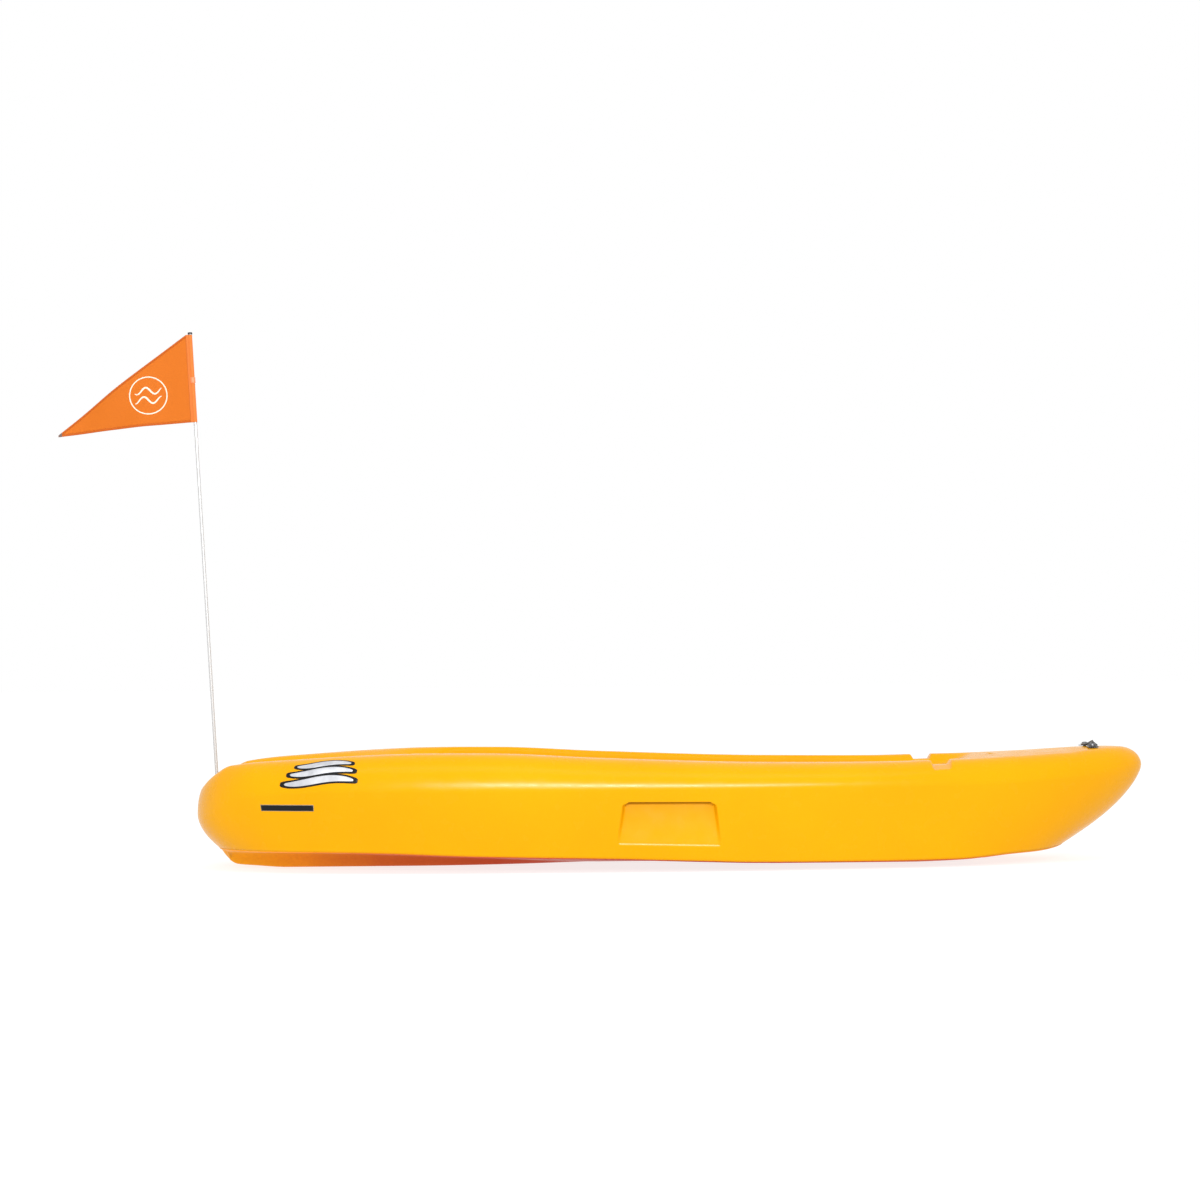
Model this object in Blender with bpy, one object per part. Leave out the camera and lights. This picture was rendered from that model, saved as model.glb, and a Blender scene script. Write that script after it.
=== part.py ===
"""A child's sit-on-top kayak with a safety flag, a bow carry strap and a drain plug.

Metres. +X points to the bow, +Y to port, +Z up. The origin is at mid-length on the
centreline, on the ground plane that the keel and the fore bottom rest on.
The hull is two plastic sheets, a deck moulding and a bottom moulding, welded along
a parting line at the bottom edge. Both are sampled from one surface, ring by ring:
deck centreline, gunwale ridge, widest line, parting line, keel.
"""

import math

import bmesh
import bpy
import numpy as np
from mathutils import Matrix, Vector

# ---- driving dimensions ----
HALF_LENGTH = 0.914
HALF_BEAM = 0.311
WIDEST_X = -0.10          # where the plan outline is widest
WALL = 0.0035             # sheet thickness of both mouldings
GAP = 0.0003              # clearance between pieces that touch

# ---- plan and side curves, as (x, value) points ----
SHEER = [(-0.914, 0.148), (-0.900, 0.158), (-0.885, 0.169), (-0.860, 0.187), (-0.833, 0.201),
         (-0.742, 0.210), (-0.459, 0.222), (-0.337, 0.221), (-0.135, 0.211), (0.189, 0.200), (0.391, 0.1985),
         (0.547, 0.2027), (0.665, 0.2098), (0.840, 0.2185), (0.880, 0.217), (0.914, 0.208)]
WIDEST_HEIGHT = [(-0.914, 0.105), (-0.80, 0.145), (-0.60, 0.155), (0.55, 0.155), (0.80, 0.168),
                 (0.914, 0.182)]
SHOULDER_WIDTH = [(-0.914, 0.016), (-0.84, 0.040), (-0.70, 0.056), (-0.20, 0.061), (0.30, 0.055),
                  (0.60, 0.047), (0.914, 0.045)]
PARTING_HEIGHT = [(-0.914, 0.041), (-0.80, 0.0415), (-0.68, 0.0415), (-0.54, 0.039), (-0.38, 0.0325),
                  (-0.10, 0.0255), (-0.02, 0.0228), (0.06, 0.020), (0.15, 0.0172), (0.45, 0.015),
                  (0.53, 0.0155), (0.60, 0.019), (0.66, 0.0225), (0.75, 0.025), (0.914, 0.032)]
BOTTOM_HEIGHT = [(-0.88, 0.034), (-0.85, 0.030), (-0.68, 0.027), (-0.38, 0.016), (-0.14, 0.0065),
                 (0.06, 0.0065), (0.20, 0.0), (0.45, 0.0), (0.53, 0.002), (0.60, 0.007),
                 (0.68, 0.0115), (0.72, 0.018), (0.76, 0.032)]
KEEL_HEIGHT = [(-0.873, 0.034), (-0.862, 0.023), (-0.850, 0.013), (-0.838, 0.007), (-0.804, 0.004),
               (-0.74, 0.0), (-0.50, 0.0), (-0.14, 0.0065), (-0.10, 0.10)]

# ---- deck layout ----
DECK_FAN = (-0.66, 0.56)      # centres of the deck's round ends
HULL_FAN = (-0.845, 0.56)     # centres of the bottom's round ends
FOREDECK_X = 0.62             # the deck is closed and crowned ahead of this
CROWN = 0.006
SEAT_FLOOR = [(-0.914, 0.160), (-0.80, 0.160), (-0.56, 0.197), (-0.50, 0.200), (-0.462, 0.198),
              (-0.415, 0.092), (-0.36, 0.074), (-0.16, 0.070), (-0.10, 0.080)]
LEG_RIDGE = SEAT_FLOOR + [(-0.05, 0.100), (0.20, 0.112), (0.36, 0.135), (0.44, 0.172), (0.54, 0.182),
                          (FOREDECK_X, 0.206)]
WELL_FLOOR_Z = 0.060
STEP_START = 0.14             # first moulded foot step
STEP_PITCH = 0.060
STEP_RAMP = 0.012
STEP_RISE = 0.014
STEP_COUNT = 4
PAD_Z = 0.160                 # the level pad at the stern that holds the socket and the drain

# ---- hand grip recess in each side, by height fraction from parting line to widest line ----
GRIP_TOP = 0.815
GRIP_BOTTOM = 0.23
GRIP_AFT = (-0.104, -0.092)   # aft edge at the bottom and at the top
GRIP_FORE = (0.086, 0.0755)
GRIP_INSET = 0.0235
GRIP_UNDERCUT = 0.005

# ---- paddle rests ----
NOTCH_X = 0.504
NOTCH_FLAT = 0.0135
NOTCH_SLOPE = 0.0075
NOTCH_DEPTH = 0.010

# ---- keel fin ----
KEEL_HALF = 0.025
KEEL_FOOT = 0.045
KEEL_SHARE = 8.0              # per metre of a ring's width: the most of the half beam it may take at the ends
CHINE = 0.004
CHINE_DROP = 0.002            # how far the bottom edge rounds under the parting line
STEM_EASE = 0.06              # rounds the stem where the side meets the widest line
FLAT_HALF = 0.045             # half width of the bottom's flat centre; it slopes up from there

# ---- flag and pole ----
POLE_RADIUS = 0.00325
POLE_LEAN = math.radians(3.08)
POLE_BASE = Vector((-0.880, 0.0, 0.178))
POLE_BOTTOM = -0.1035         # along the pole, from its base point
FLAG_TOP = 0.858
FLAG_HOIST = 0.171
FLAG_FLY = 0.267
FLAG_DROP = 0.1815
SLEEVE_RADIUS = 0.0042
PANEL_THICKNESS = 0.0016
CAP_TOP = FLAG_TOP + 0.0045
CAP_ROOF = 0.0009
CAP_CLEAR = 0.0008            # between the sleeve's top and the cap's rim
CAP_RADIUS = 0.0045
CLIP_HALF = 0.0055
CLIP_WALL = 0.0010
CLIP_OPENING = math.radians(25.0)
CLIP_DROP = 0.0035            # how far the clip sits below the middle of the hoist

# ---- drain and carry strap ----
DRAIN_X = -0.835
ANCHOR_X = 0.8125
ANCHOR_Y = 0.050
TAB_SIZE = (0.020, 0.030)
TAB_THICKNESS = 0.0030
LOOP_WIDTH = 0.009
LOOP_THICKNESS = 0.0034
STRAP_AXIS_RISE = 0.0050       # the strap loop's swing axis above the crown of the deck


def clear_scene():
    for item in list(bpy.data.objects):
        bpy.data.objects.remove(item)


def plastic(name, colour, roughness, metallic=0.0):
    material = bpy.data.materials.new(name)
    material.use_nodes = True
    shader = material.node_tree.nodes["Principled BSDF"]
    shader.inputs["Base Color"].default_value = (*colour, 1.0)
    shader.inputs["Roughness"].default_value = roughness
    shader.inputs["Metallic"].default_value = metallic
    material.diffuse_color = (*colour, 1.0)
    return material


# ---- curves ----

def smooth(value, low, high):
    """0 up to low, 1 from high, with an S between."""
    t = np.clip((value - low) / (high - low), 0.0, 1.0)
    return t * t * (3.0 - 2.0 * t)


def follow(points, x):
    """A smooth curve through (x, value) points that never overshoots them."""
    knots, values = np.array(points).T
    steps = np.diff(knots)
    secants = np.diff(values) / steps
    slopes = np.zeros(len(knots))
    before, after = secants[:-1], secants[1:]
    turning = before * after <= 0.0
    total = np.where(turning, 1.0, before + after)
    slopes[1:-1] = np.where(turning, 0.0, 2.0 * before * after / total)
    i = np.clip(np.searchsorted(knots, x, side="right") - 1, 0, len(steps) - 1)
    t = np.clip((x - knots[i]) / steps[i], 0.0, 1.0)
    rise = values[i + 1] - values[i]
    bend = t * (1.0 - t)
    return (values[i] + rise * t * t * (3.0 - 2.0 * t)
            + steps[i] * bend * (slopes[i] * (1.0 - t) - slopes[i + 1] * t))


def half_beam(x):
    bow = np.clip((x - WIDEST_X) / (HALF_LENGTH - WIDEST_X), 0.0, 1.0)
    stern = np.clip((WIDEST_X - x) / (HALF_LENGTH + WIDEST_X), 0.0, 1.0)
    return HALF_BEAM * (1.0 - bow ** 2.2) ** 0.625 * (1.0 - stern ** 4.0) ** 0.42


def ridge_half_width(x):
    return np.maximum(half_beam(x) - follow(SHOULDER_WIDTH, x), 0.10)


# ---- the deck, as heights ----

def well_floor_curve():
    """The leg wells: a flat floor, then moulded steps for the heels, then the front wall."""
    points = SEAT_FLOOR[:-1] + [(-0.12, 0.071), (-0.06, WELL_FLOOR_Z)]
    z = WELL_FLOOR_Z
    for step in range(STEP_COUNT):
        x = STEP_START + step * STEP_PITCH
        points += [(x, z), (x + STEP_RAMP, z + STEP_RISE)]
        z += STEP_RISE
    return points + [(0.375, z), (0.425, 0.172), (0.54, 0.182), (FOREDECK_X, 0.206)]


WELL_FLOOR = well_floor_curve()


def deck_height(x, y):
    sheer = follow(SHEER, x)
    side = np.abs(y) / ridge_half_width(x)
    crowned = sheer - CROWN * smooth(x, 0.45, 0.80) * side * side
    in_well = smooth(side, 0.13, 0.22)
    floor = follow(LEG_RIDGE, x) * (1.0 - in_well) + follow(WELL_FLOOR, x) * in_well
    floor = np.where(x > FOREDECK_X, crowned, np.minimum(floor, crowned))
    wall_foot = 0.50 + 0.20 * smooth(x, -0.60, -0.48)
    return floor + (crowned - floor) * smooth(side, wall_foot, 0.88)


def notched(x, y, z):
    """Lower the gunwale to the floor of the paddle rest."""
    across = 1.0 - smooth(np.abs(x - NOTCH_X), NOTCH_FLAT, NOTCH_FLAT + NOTCH_SLOPE)
    out = np.abs(y) - ridge_half_width(x)
    floor = follow(SHEER, x) - NOTCH_DEPTH - 0.2 * np.maximum(out, 0.0)
    inner = smooth(out, -0.085, -0.065)
    return z - across * inner * np.maximum(z - floor, 0.0)


# ---- the side, as rings round the plan outline ----

def inset_point(px, inset):
    """Starboard outline point moved in by inset, towards the middle line; y is negative to starboard."""
    along = np.clip(px, DECK_FAN[0], DECK_FAN[1]) - px
    across = half_beam(px)
    distance = np.hypot(along, across)
    return px + along / distance * inset, -across + across / distance * inset


def shoulder_ring(px, angle):
    """Quarter-round from the widest line, at 0 degrees, to the gunwale ridge, at 90 degrees."""
    width = follow(SHOULDER_WIDTH, px)
    ridge_x, ridge_y = inset_point(px, width)
    ridge_z = deck_height(ridge_x, ridge_y)
    widest_z = follow(WIDEST_HEIGHT, px)
    turn = math.radians(angle)
    x, y = inset_point(px, width * (1.0 - math.cos(turn)))
    z = widest_z + (ridge_z - widest_z) * math.sin(turn)
    return np.stack([x, y, notched(x, y, z)], axis=1)


def parting_inset(px):
    return 0.030 + 0.011 * smooth(-px, 0.70, 0.914) + 0.125 * np.clip((px - 0.45) / 0.464, 0.0, 1.0) ** 3


def side_ring(px, fraction):
    """The side at a height fraction, 1 at the widest line and 0 at the parting line."""
    low = follow(PARTING_HEIGHT, px)
    high = follow(WIDEST_HEIGHT, px)
    under = 1.0 - fraction
    bulge = 1.15 + 0.75 * smooth(-px, 0.70, 0.914)
    raked = smooth(px, 0.45, 0.914)
    eased = (math.hypot(under, STEM_EASE) - STEM_EASE) / (math.hypot(1.0, STEM_EASE) - STEM_EASE)
    curve = under ** bulge * (1.0 - raked) + (0.34 * eased + 0.66 * under * under) * raked
    inset = parting_inset(px) * curve
    z = low + (high - low) * fraction
    along = (fraction - GRIP_BOTTOM) / (GRIP_TOP - GRIP_BOTTOM)
    aft = GRIP_AFT[0] + (GRIP_AFT[1] - GRIP_AFT[0]) * along
    fore = GRIP_FORE[0] + (GRIP_FORE[1] - GRIP_FORE[0]) * along
    in_grip = smooth(px, aft - 0.006, aft + 0.004) * (1.0 - smooth(px, fore - 0.004, fore + 0.006))
    in_grip = in_grip * (1.0 if GRIP_BOTTOM - 0.01 <= fraction <= GRIP_TOP else 0.0)
    inset = inset + in_grip * np.maximum(GRIP_INSET - inset, 0.0)
    z = z + in_grip * GRIP_UNDERCUT * float(smooth(fraction, 0.70, GRIP_TOP))
    x, y = inset_point(px, inset)
    return np.stack([x, y, z], axis=1)


def side_at(px, z):
    """The side at a height above the ground."""
    low = follow(PARTING_HEIGHT, px)
    fractions = (z - low) / (follow(WIDEST_HEIGHT, px) - low)
    return np.concatenate([side_ring(px[i:i + 1], fractions[i]) for i in range(len(px))])


def deck_ring(px, fraction):
    """The deck between the centreline, at 0, and the gunwale ridge, at 1."""
    ridge_x, ridge_y = inset_point(px, follow(SHOULDER_WIDTH, px))
    centre_x = np.clip(px, DECK_FAN[0], DECK_FAN[1])
    x = centre_x + (ridge_x - centre_x) * fraction
    y = ridge_y * fraction
    return np.stack([x, y, notched(x, y, deck_height(x, y))], axis=1)


def bottom_ring(px, in_chine, fraction, keel_width=None):
    """The bottom: in_chine runs 0 to 1 round the bottom edge, then fraction 1 to 0 to the keel.

    A keel_width puts the ring that far from the centreline instead.
    """
    edge_x, edge_y = inset_point(px, parting_inset(px))
    if keel_width:
        fraction = np.minimum(keel_width / np.maximum(np.abs(edge_y), GAP), keel_width * KEEL_SHARE)
    centre_x = np.clip(edge_x, HULL_FAN[0], HULL_FAN[1])
    reach = np.hypot(edge_x - centre_x, edge_y)
    turn = math.radians(90.0 * in_chine)
    chine = np.minimum(CHINE, 0.3 * reach)
    keep = (1.0 - (1.0 - math.cos(turn)) * chine / reach) * fraction
    x = centre_x + (edge_x - centre_x) * keep
    y = edge_y * keep
    flat = follow(BOTTOM_HEIGHT, x)
    keel = np.minimum(follow(KEEL_HEIGHT, x), flat)
    in_keel = 1.0 - smooth(np.abs(y), KEEL_HALF, KEEL_FOOT)
    level = np.minimum(FLAT_HALF / np.maximum(np.abs(edge_y), GAP), FLAT_HALF * KEEL_SHARE)
    slope = np.clip((keep - level) / (1.0 - level), 0.0, 1.0)
    rise = (follow(PARTING_HEIGHT, px) - CHINE_DROP * math.sin(turn) - flat) * slope
    return np.stack([x, y, flat + (keel - flat) * in_keel + rise], axis=1)


# ---- the two mouldings ----

DECK_FRACTIONS = [0.0, 0.13, 0.22, 0.40, 0.585, 0.70, 0.76, 0.82, 0.88, 1.0]
SHOULDER_ANGLES = [67.5, 45.0, 22.5, 0.0]
SIDE_FRACTIONS = [0.83, 0.805, 0.52, 0.235, 0.0]
CHINE_FRACTIONS = [0.5, 1.0]
BOTTOM_FRACTIONS = [0.66]
END_STATIONS = 8              # in each half of a round end


def station_list():
    """Outline stations, stern tip to bow tip: close together at every edge of the moulding."""
    grips = [GRIP_AFT[0] - 0.006, GRIP_AFT[1] + 0.004, GRIP_FORE[1] - 0.004, GRIP_FORE[0] + 0.006]
    steps = []
    for step in range(STEP_COUNT):
        steps += [STEP_START + step * STEP_PITCH, STEP_START + step * STEP_PITCH + STEP_RAMP]
    notch = [NOTCH_X + side * half for side in (-1, 1) for half in (NOTCH_FLAT, NOTCH_FLAT + NOTCH_SLOPE)]
    seat = [-0.61, -0.56, -0.50, -0.462, -0.4385, -0.415, -0.36, -0.29, -0.22, -0.16, -0.05, 0.0, 0.04]
    middle = sorted(grips + steps + notch + seat + [0.375, 0.40, 0.425, 0.455, *DECK_FAN])
    turn = np.sin(np.linspace(0.0, math.pi / 2, END_STATIONS + 1)[1:])
    stern = DECK_FAN[0] - (HALF_LENGTH + DECK_FAN[0]) * turn[::-1]
    bow = DECK_FAN[1] + (HALF_LENGTH - DECK_FAN[1]) * turn
    return np.concatenate([stern, middle, bow])


def all_round(half):
    """A starboard half ring, closed with its port mirror; the two tips are shared."""
    port = half[-2:0:-1] * np.array([1.0, -1.0, 1.0])
    return np.concatenate([half, port])


def hull_rings(px):
    deck = [deck_ring(px, fraction) for fraction in DECK_FRACTIONS]
    deck += [shoulder_ring(px, angle) for angle in SHOULDER_ANGLES]
    deck += [side_ring(px, fraction) for fraction in SIDE_FRACTIONS]
    bottom = [bottom_ring(px, in_chine, 1.0) for in_chine in CHINE_FRACTIONS]
    bottom += [bottom_ring(px, 1.0, fraction) for fraction in BOTTOM_FRACTIONS]
    bottom += [bottom_ring(px, 1.0, 1.0, width) for width in (FLAT_HALF, KEEL_FOOT, KEEL_HALF)]
    bottom.append(bottom_ring(px, 1.0, 0.0))
    return [all_round(ring) for ring in deck + bottom], len(deck) - 1


def add_band(mesh, upper, lower):
    """Quads between two rings of vertices."""
    count = len(upper)
    for i in range(count):
        j = (i + 1) % count
        mesh.faces.new((upper[i], lower[i], lower[j], upper[j]))


def ring_mesh(rings):
    mesh = bmesh.new()
    rows = [[mesh.verts.new(point) for point in ring] for ring in rings]
    for upper, lower in zip(rows, rows[1:]):
        add_band(mesh, upper, lower)
    return mesh, rows


def surface_normals(rings):
    """Outward normals of the whole closed surface, ring by ring."""
    mesh, rows = ring_mesh(rings)
    bmesh.ops.remove_doubles(mesh, verts=mesh.verts, dist=1e-6)
    bmesh.ops.recalc_face_normals(mesh, faces=mesh.faces)
    mesh.normal_update()
    known = {rounded(vertex.co): vertex.normal.copy() for vertex in mesh.verts}
    normals = [np.array([nearest_normal(known, point) for point in ring]) for ring in rings]
    mesh.free()
    return normals


def rounded(point):
    return tuple(round(c, 5) for c in Vector(point))


def nearest_normal(known, point):
    key = rounded(point)
    if key in known:
        return known[key]
    return min(known.items(), key=lambda item: (Vector(item[0]) - Vector(point)).length)[1]


def add_edge(mesh, outer, inner):
    """The wall at a sheet's edge, in triangles that run the same way on both sheets."""
    count = len(outer)
    for i in range(count):
        j = (i + 1) % count
        mesh.faces.new((outer[i], inner[i], inner[j]))
        mesh.faces.new((outer[i], inner[j], outer[j]))


def moulding(name, outer, normals, open_ring, material):
    """One sheet of the hull: its outer skin, its inner skin and the edge that joins them."""
    inner = [ring - normal * WALL for ring, normal in zip(outer, normals)]
    mesh, rows = ring_mesh(outer)
    inside = [[mesh.verts.new(point) for point in ring] for ring in inner]
    for upper, lower in zip(inside, inside[1:]):
        add_band(mesh, lower, upper)
    add_edge(mesh, rows[open_ring], inside[open_ring])
    bmesh.ops.remove_doubles(mesh, verts=mesh.verts, dist=2e-5)
    bmesh.ops.recalc_face_normals(mesh, faces=mesh.faces)
    return finished(name, mesh, material, smooth_angle=35.0)


def finished(name, mesh, material, parent=None, smooth_angle=30.0):
    """Turn a bmesh into a named object."""
    data = bpy.data.meshes.new(name)
    mesh.to_mesh(data)
    mesh.free()
    data.shade_smooth()
    data.set_sharp_from_angle(angle=math.radians(smooth_angle))
    item = bpy.data.objects.new(name, data)
    bpy.context.scene.collection.objects.link(item)
    item.data.materials.append(material)
    if parent:
        item.parent = parent
    return item


def shifted(ring, neighbour):
    """Pull an edge ring back by half the joint's gap."""
    towards = neighbour - ring
    return ring + towards / np.linalg.norm(towards, axis=1)[:, None] * GAP / 2


def make_hull(yellow, orange):
    rings, parting = hull_rings(station_list())
    normals = surface_normals(rings)
    deck = rings[:parting] + [shifted(rings[parting], rings[parting - 1])]
    bottom = [shifted(rings[parting], rings[parting + 1])] + rings[parting + 1:]
    deck_shell = moulding("deck_shell", deck, normals[:parting + 1], -1, yellow)
    moulding("hull_shell", bottom, normals[parting:], 0, orange)
    return deck_shell


# ---- helpers for the small pieces ----

def empty(name, location, rotation=(0.0, 0.0, 0.0)):
    item = bpy.data.objects.new(name, None)
    item.location = location
    item.rotation_euler = rotation
    bpy.context.scene.collection.objects.link(item)
    return item


def turned_mesh(profile, sides):
    """Revolve a closed (radius, height) profile about Z."""
    mesh = bmesh.new()
    columns = []
    for i in range(sides):
        angle = 2.0 * math.pi * i / sides
        columns.append([mesh.verts.new((r * math.cos(angle), r * math.sin(angle), z)) for r, z in profile])
    for i in range(sides):
        here, there = columns[i], columns[(i + 1) % sides]
        for j in range(len(profile)):
            k = (j + 1) % len(profile)
            if profile[j][0] > 0.0 or profile[k][0] > 0.0:
                mesh.faces.new((here[j], there[j], there[k], here[k]))
    bmesh.ops.remove_doubles(mesh, verts=mesh.verts, dist=1e-6)
    bmesh.ops.recalc_face_normals(mesh, faces=mesh.faces)
    return mesh


def turned(name, profile, material, parent, sides=20):
    return finished(name, turned_mesh(profile, sides), material, parent)


def extruded_mesh(outline, low, high):
    """A prism along Z from a closed (x, y) outline."""
    mesh = bmesh.new()
    bottom = [mesh.verts.new((x, y, low)) for x, y in outline]
    top = [mesh.verts.new((x, y, high)) for x, y in outline]
    mesh.faces.new(bottom)
    mesh.faces.new(top)
    add_band(mesh, top, bottom)
    bmesh.ops.recalc_face_normals(mesh, faces=mesh.faces)
    return mesh


def rectangle(length, width):
    x, y = length / 2, width / 2
    return [(-x, -y), (x, -y), (x, y), (-x, y)]


def cutter(name, mesh, parent):
    item = finished(name, mesh, bpy.data.materials[0], parent)
    item.hide_render = True
    item.display_type = "WIRE"
    return item


def carve(target, tool, operation="DIFFERENCE"):
    modifier = target.modifiers.new(tool.name, "BOOLEAN")
    modifier.operation = operation
    modifier.object = tool
    modifier.solver = "EXACT"


def disc(radius, low, high):
    return [(0.0, low), (radius, low), (radius, high), (0.0, high)]


def tube(outer, inner, low, high):
    return [(inner, low), (outer, low), (outer, high), (inner, high)]


# ---- flag ----

def make_flag(deck_shell, rod, black, cloth, pale, grey):
    axis = empty("flag_pole_axis", POLE_BASE, (0.0, -POLE_LEAN, 0.0))
    turned("flag_pole", disc(POLE_RADIUS, POLE_BOTTOM, CAP_TOP - CAP_ROOF - GAP), rod, axis, 12)
    bore, rim = POLE_RADIUS + GAP, FLAG_TOP + CAP_CLEAR
    profile = [(0.0, CAP_TOP), (CAP_RADIUS - CAP_ROOF, CAP_TOP), (CAP_RADIUS, CAP_TOP - CAP_ROOF),
               (CAP_RADIUS, rim), (bore, rim), (bore, CAP_TOP - CAP_ROOF), (0.0, CAP_TOP - CAP_ROOF)]
    turned("flag_pole_cap", profile, black, axis, 16)
    make_pennant(axis, cloth)
    make_clip(axis, pale)
    make_socket(axis, deck_shell, grey)


def make_pennant(axis, cloth):
    bottom, bore = FLAG_TOP - FLAG_HOIST, POLE_RADIUS + GAP
    sleeve = turned("flag_cloth", tube(SLEEVE_RADIUS, bore, bottom, FLAG_TOP), cloth, axis, 16)
    start = 0.5 * (SLEEVE_RADIUS + bore)
    tip = FLAG_TOP - FLAG_DROP
    corners = [(-start, FLAG_TOP - 0.001), (-FLAG_FLY, tip + 0.003),
               (-FLAG_FLY, tip - 0.003), (-start, bottom + 0.001)]
    mesh = extruded_mesh(corners, -PANEL_THICKNESS / 2, PANEL_THICKNESS / 2)
    bmesh.ops.transform(mesh, matrix=Matrix.Rotation(math.pi / 2, 4, "X"), verts=mesh.verts)
    carve(sleeve, cutter("flag_panel_shape", mesh, axis), "UNION")


def make_clip(axis, pale):
    """A C-shaped collar on the sleeve, open to the panel."""
    inner, outer = SLEEVE_RADIUS + GAP, SLEEVE_RADIUS + GAP + CLIP_WALL
    closed = 2.0 * math.pi - 2.0 * CLIP_OPENING
    angles = [math.pi + CLIP_OPENING + closed * i / 16 for i in range(17)]
    outline = [(outer * math.cos(a), outer * math.sin(a)) for a in angles]
    outline += [(inner * math.cos(a), inner * math.sin(a)) for a in reversed(angles)]
    middle = FLAG_TOP - FLAG_HOIST / 2 - CLIP_DROP
    finished("flag_clip", extruded_mesh(outline, middle - CLIP_HALF, middle + CLIP_HALF), pale, axis)


def make_socket(axis, deck_shell, grey):
    """A cup under the deck with a flange and a short collar above it."""
    seat = PAD_Z - POLE_BASE.z
    bore = POLE_RADIUS + GAP
    floor = POLE_BOTTOM - GAP
    body = 0.0062
    flange = 0.0115
    profile = [(0.0, floor - 0.004), (body, floor - 0.004), (body, seat), (flange, seat),
               (flange, seat + 0.0018), (0.0080, seat + 0.0030), (0.0070, seat + 0.010), (bore, seat + 0.010),
               (bore, floor), (0.0, floor)]
    turned("flag_socket", profile, grey, axis, 20)
    room = 0.0004
    hole = [(0.0, floor - 0.01), (body + room, floor - 0.01), (body + room, seat - room),
            (flange + room, seat - room), (flange + room, seat + 0.03), (0.0, seat + 0.03)]
    carve(deck_shell, cutter("flag_socket_hole", turned_mesh(hole, 20), axis))


# ---- drain ----

def make_drain(deck_shell, black, rubber, grey):
    axis = empty("drain_axis", (DRAIN_X, 0.0, PAD_Z))
    flange_top = 0.0023
    turned("drain_housing",
           [(0.0108, -0.0145), (0.0145, -0.0145), (0.0145, GAP), (0.0190, GAP), (0.0190, 0.0015),
            (0.0182, flange_top), (0.0108, flange_top)], grey, axis, 28)
    carve(deck_shell, cutter("drain_hole", turned_mesh(disc(0.0150, -0.03, 0.03), 28), axis))
    seal_low = flange_top + GAP
    turned("drain_seal", tube(0.0140, 0.0112, seal_low, seal_low + 0.0015), rubber, axis, 28)
    head = seal_low + 0.0015 + GAP
    plug = turned("drain_plug",
                  [(0.0, -0.011), (0.0092, -0.011), (0.0104, -0.0098), (0.0104, head), (0.0155, head),
                   (0.0155, head + 0.0035), (0.0145, head + 0.0045), (0.0, head + 0.0045)], black, axis, 28)
    bar = extruded_mesh(rectangle(0.025, 0.0044), head + 0.003, head + 0.0105)
    carve(plug, cutter("drain_grip_shape", bar, axis), "UNION")


# ---- bow carry strap ----

def swept(name, path, width, thickness, material, parent):
    """A flat strap along a path, its width level and square to the path."""
    points = [Vector(p) for p in path]
    mesh = bmesh.new()
    rows = []
    for i, point in enumerate(points):
        along = (points[min(i + 1, len(points) - 1)] - points[max(i - 1, 0)]).normalized()
        across = Vector((0.0, 0.0, 1.0)).cross(along).normalized()
        up = along.cross(across)
        corners = [(-1, -0.6), (-0.8, -1), (0.8, -1), (1, -0.6), (1, 0.6), (0.8, 1), (-0.8, 1), (-1, 0.6)]
        rows.append([mesh.verts.new(point + across * (u * width / 2) + up * (v * thickness / 2))
                     for u, v in corners])
    for near, far in zip(rows, rows[1:]):
        add_band(mesh, near, far)
    mesh.faces.new(rows[0])
    mesh.faces.new(rows[-1])
    bmesh.ops.recalc_face_normals(mesh, faces=mesh.faces)
    return finished(name, mesh, material, parent)


def loop_path():
    """The strap's loop, lying aft of its anchors, as a smooth run of points."""
    ends = [(0.0, 0.0285, 0.0), (-0.0004, 0.0262, 0.0040), (-0.0020, 0.0225, 0.0058),
            (-0.0048, 0.0165, 0.0030), (-0.0068, 0.0095, -0.0003), (-0.0075, 0.0, -0.0010)]
    side = [(x, -y, z) for x, y, z in ends]
    return side + [(x, -y, z) for x, y, z in reversed(side[:-1])]


def make_strap(deck_shell, webbing, steel, brass):
    deck_z = float(deck_height(np.array([ANCHOR_X]), np.array([ANCHOR_Y]))[0])
    crest = float(deck_height(np.array([ANCHOR_X]), np.array([0.0]))[0])
    axis = empty("bow_handle_axis", (ANCHOR_X, 0.0, crest + STRAP_AXIS_RISE))
    swept("handle_loop", loop_path(), LOOP_WIDTH, LOOP_THICKNESS, webbing, axis)
    for side, name in ((-1, "starboard"), (1, "port")):
        anchor = empty("anchor_" + name, (ANCHOR_X, side * ANCHOR_Y, deck_z + 0.0008))
        flat = extruded_mesh(rectangle(*TAB_SIZE), 0.0, TAB_THICKNESS)
        tab = finished("handle_tab_" + name, flat, webbing, anchor)
        carve(tab, cutter("tab_hole_" + name, turned_mesh(disc(0.0033, -0.01, 0.01), 16), anchor))
        low = TAB_THICKNESS + GAP
        turned("handle_washer_" + name, tube(0.0080, 0.0033, low, low + 0.0012), steel, anchor, 20)
        head = low + 0.0012 + GAP
        turned("handle_screw_" + name,
               [(0.0, -0.0140), (0.0029, -0.0140), (0.0029, head), (0.0058, head), (0.0056, head + 0.0016),
                (0.0040, head + 0.0029), (0.0, head + 0.0033)], steel, anchor, 16)
        turned("handle_insert_" + name,
               [(0.0032, -0.0180), (0.0048, -0.0180), (0.0048, -0.0080), (0.0075, -0.0080), (0.0075, -0.0064),
                (0.0048, -0.0064), (0.0048, -0.0012), (0.0032, -0.0012)], brass, anchor, 16)
        carve(deck_shell, cutter("insert_hole_" + name, turned_mesh(disc(0.0051, -0.02, 0.02), 16), anchor))


# ---- graphics ----

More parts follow.
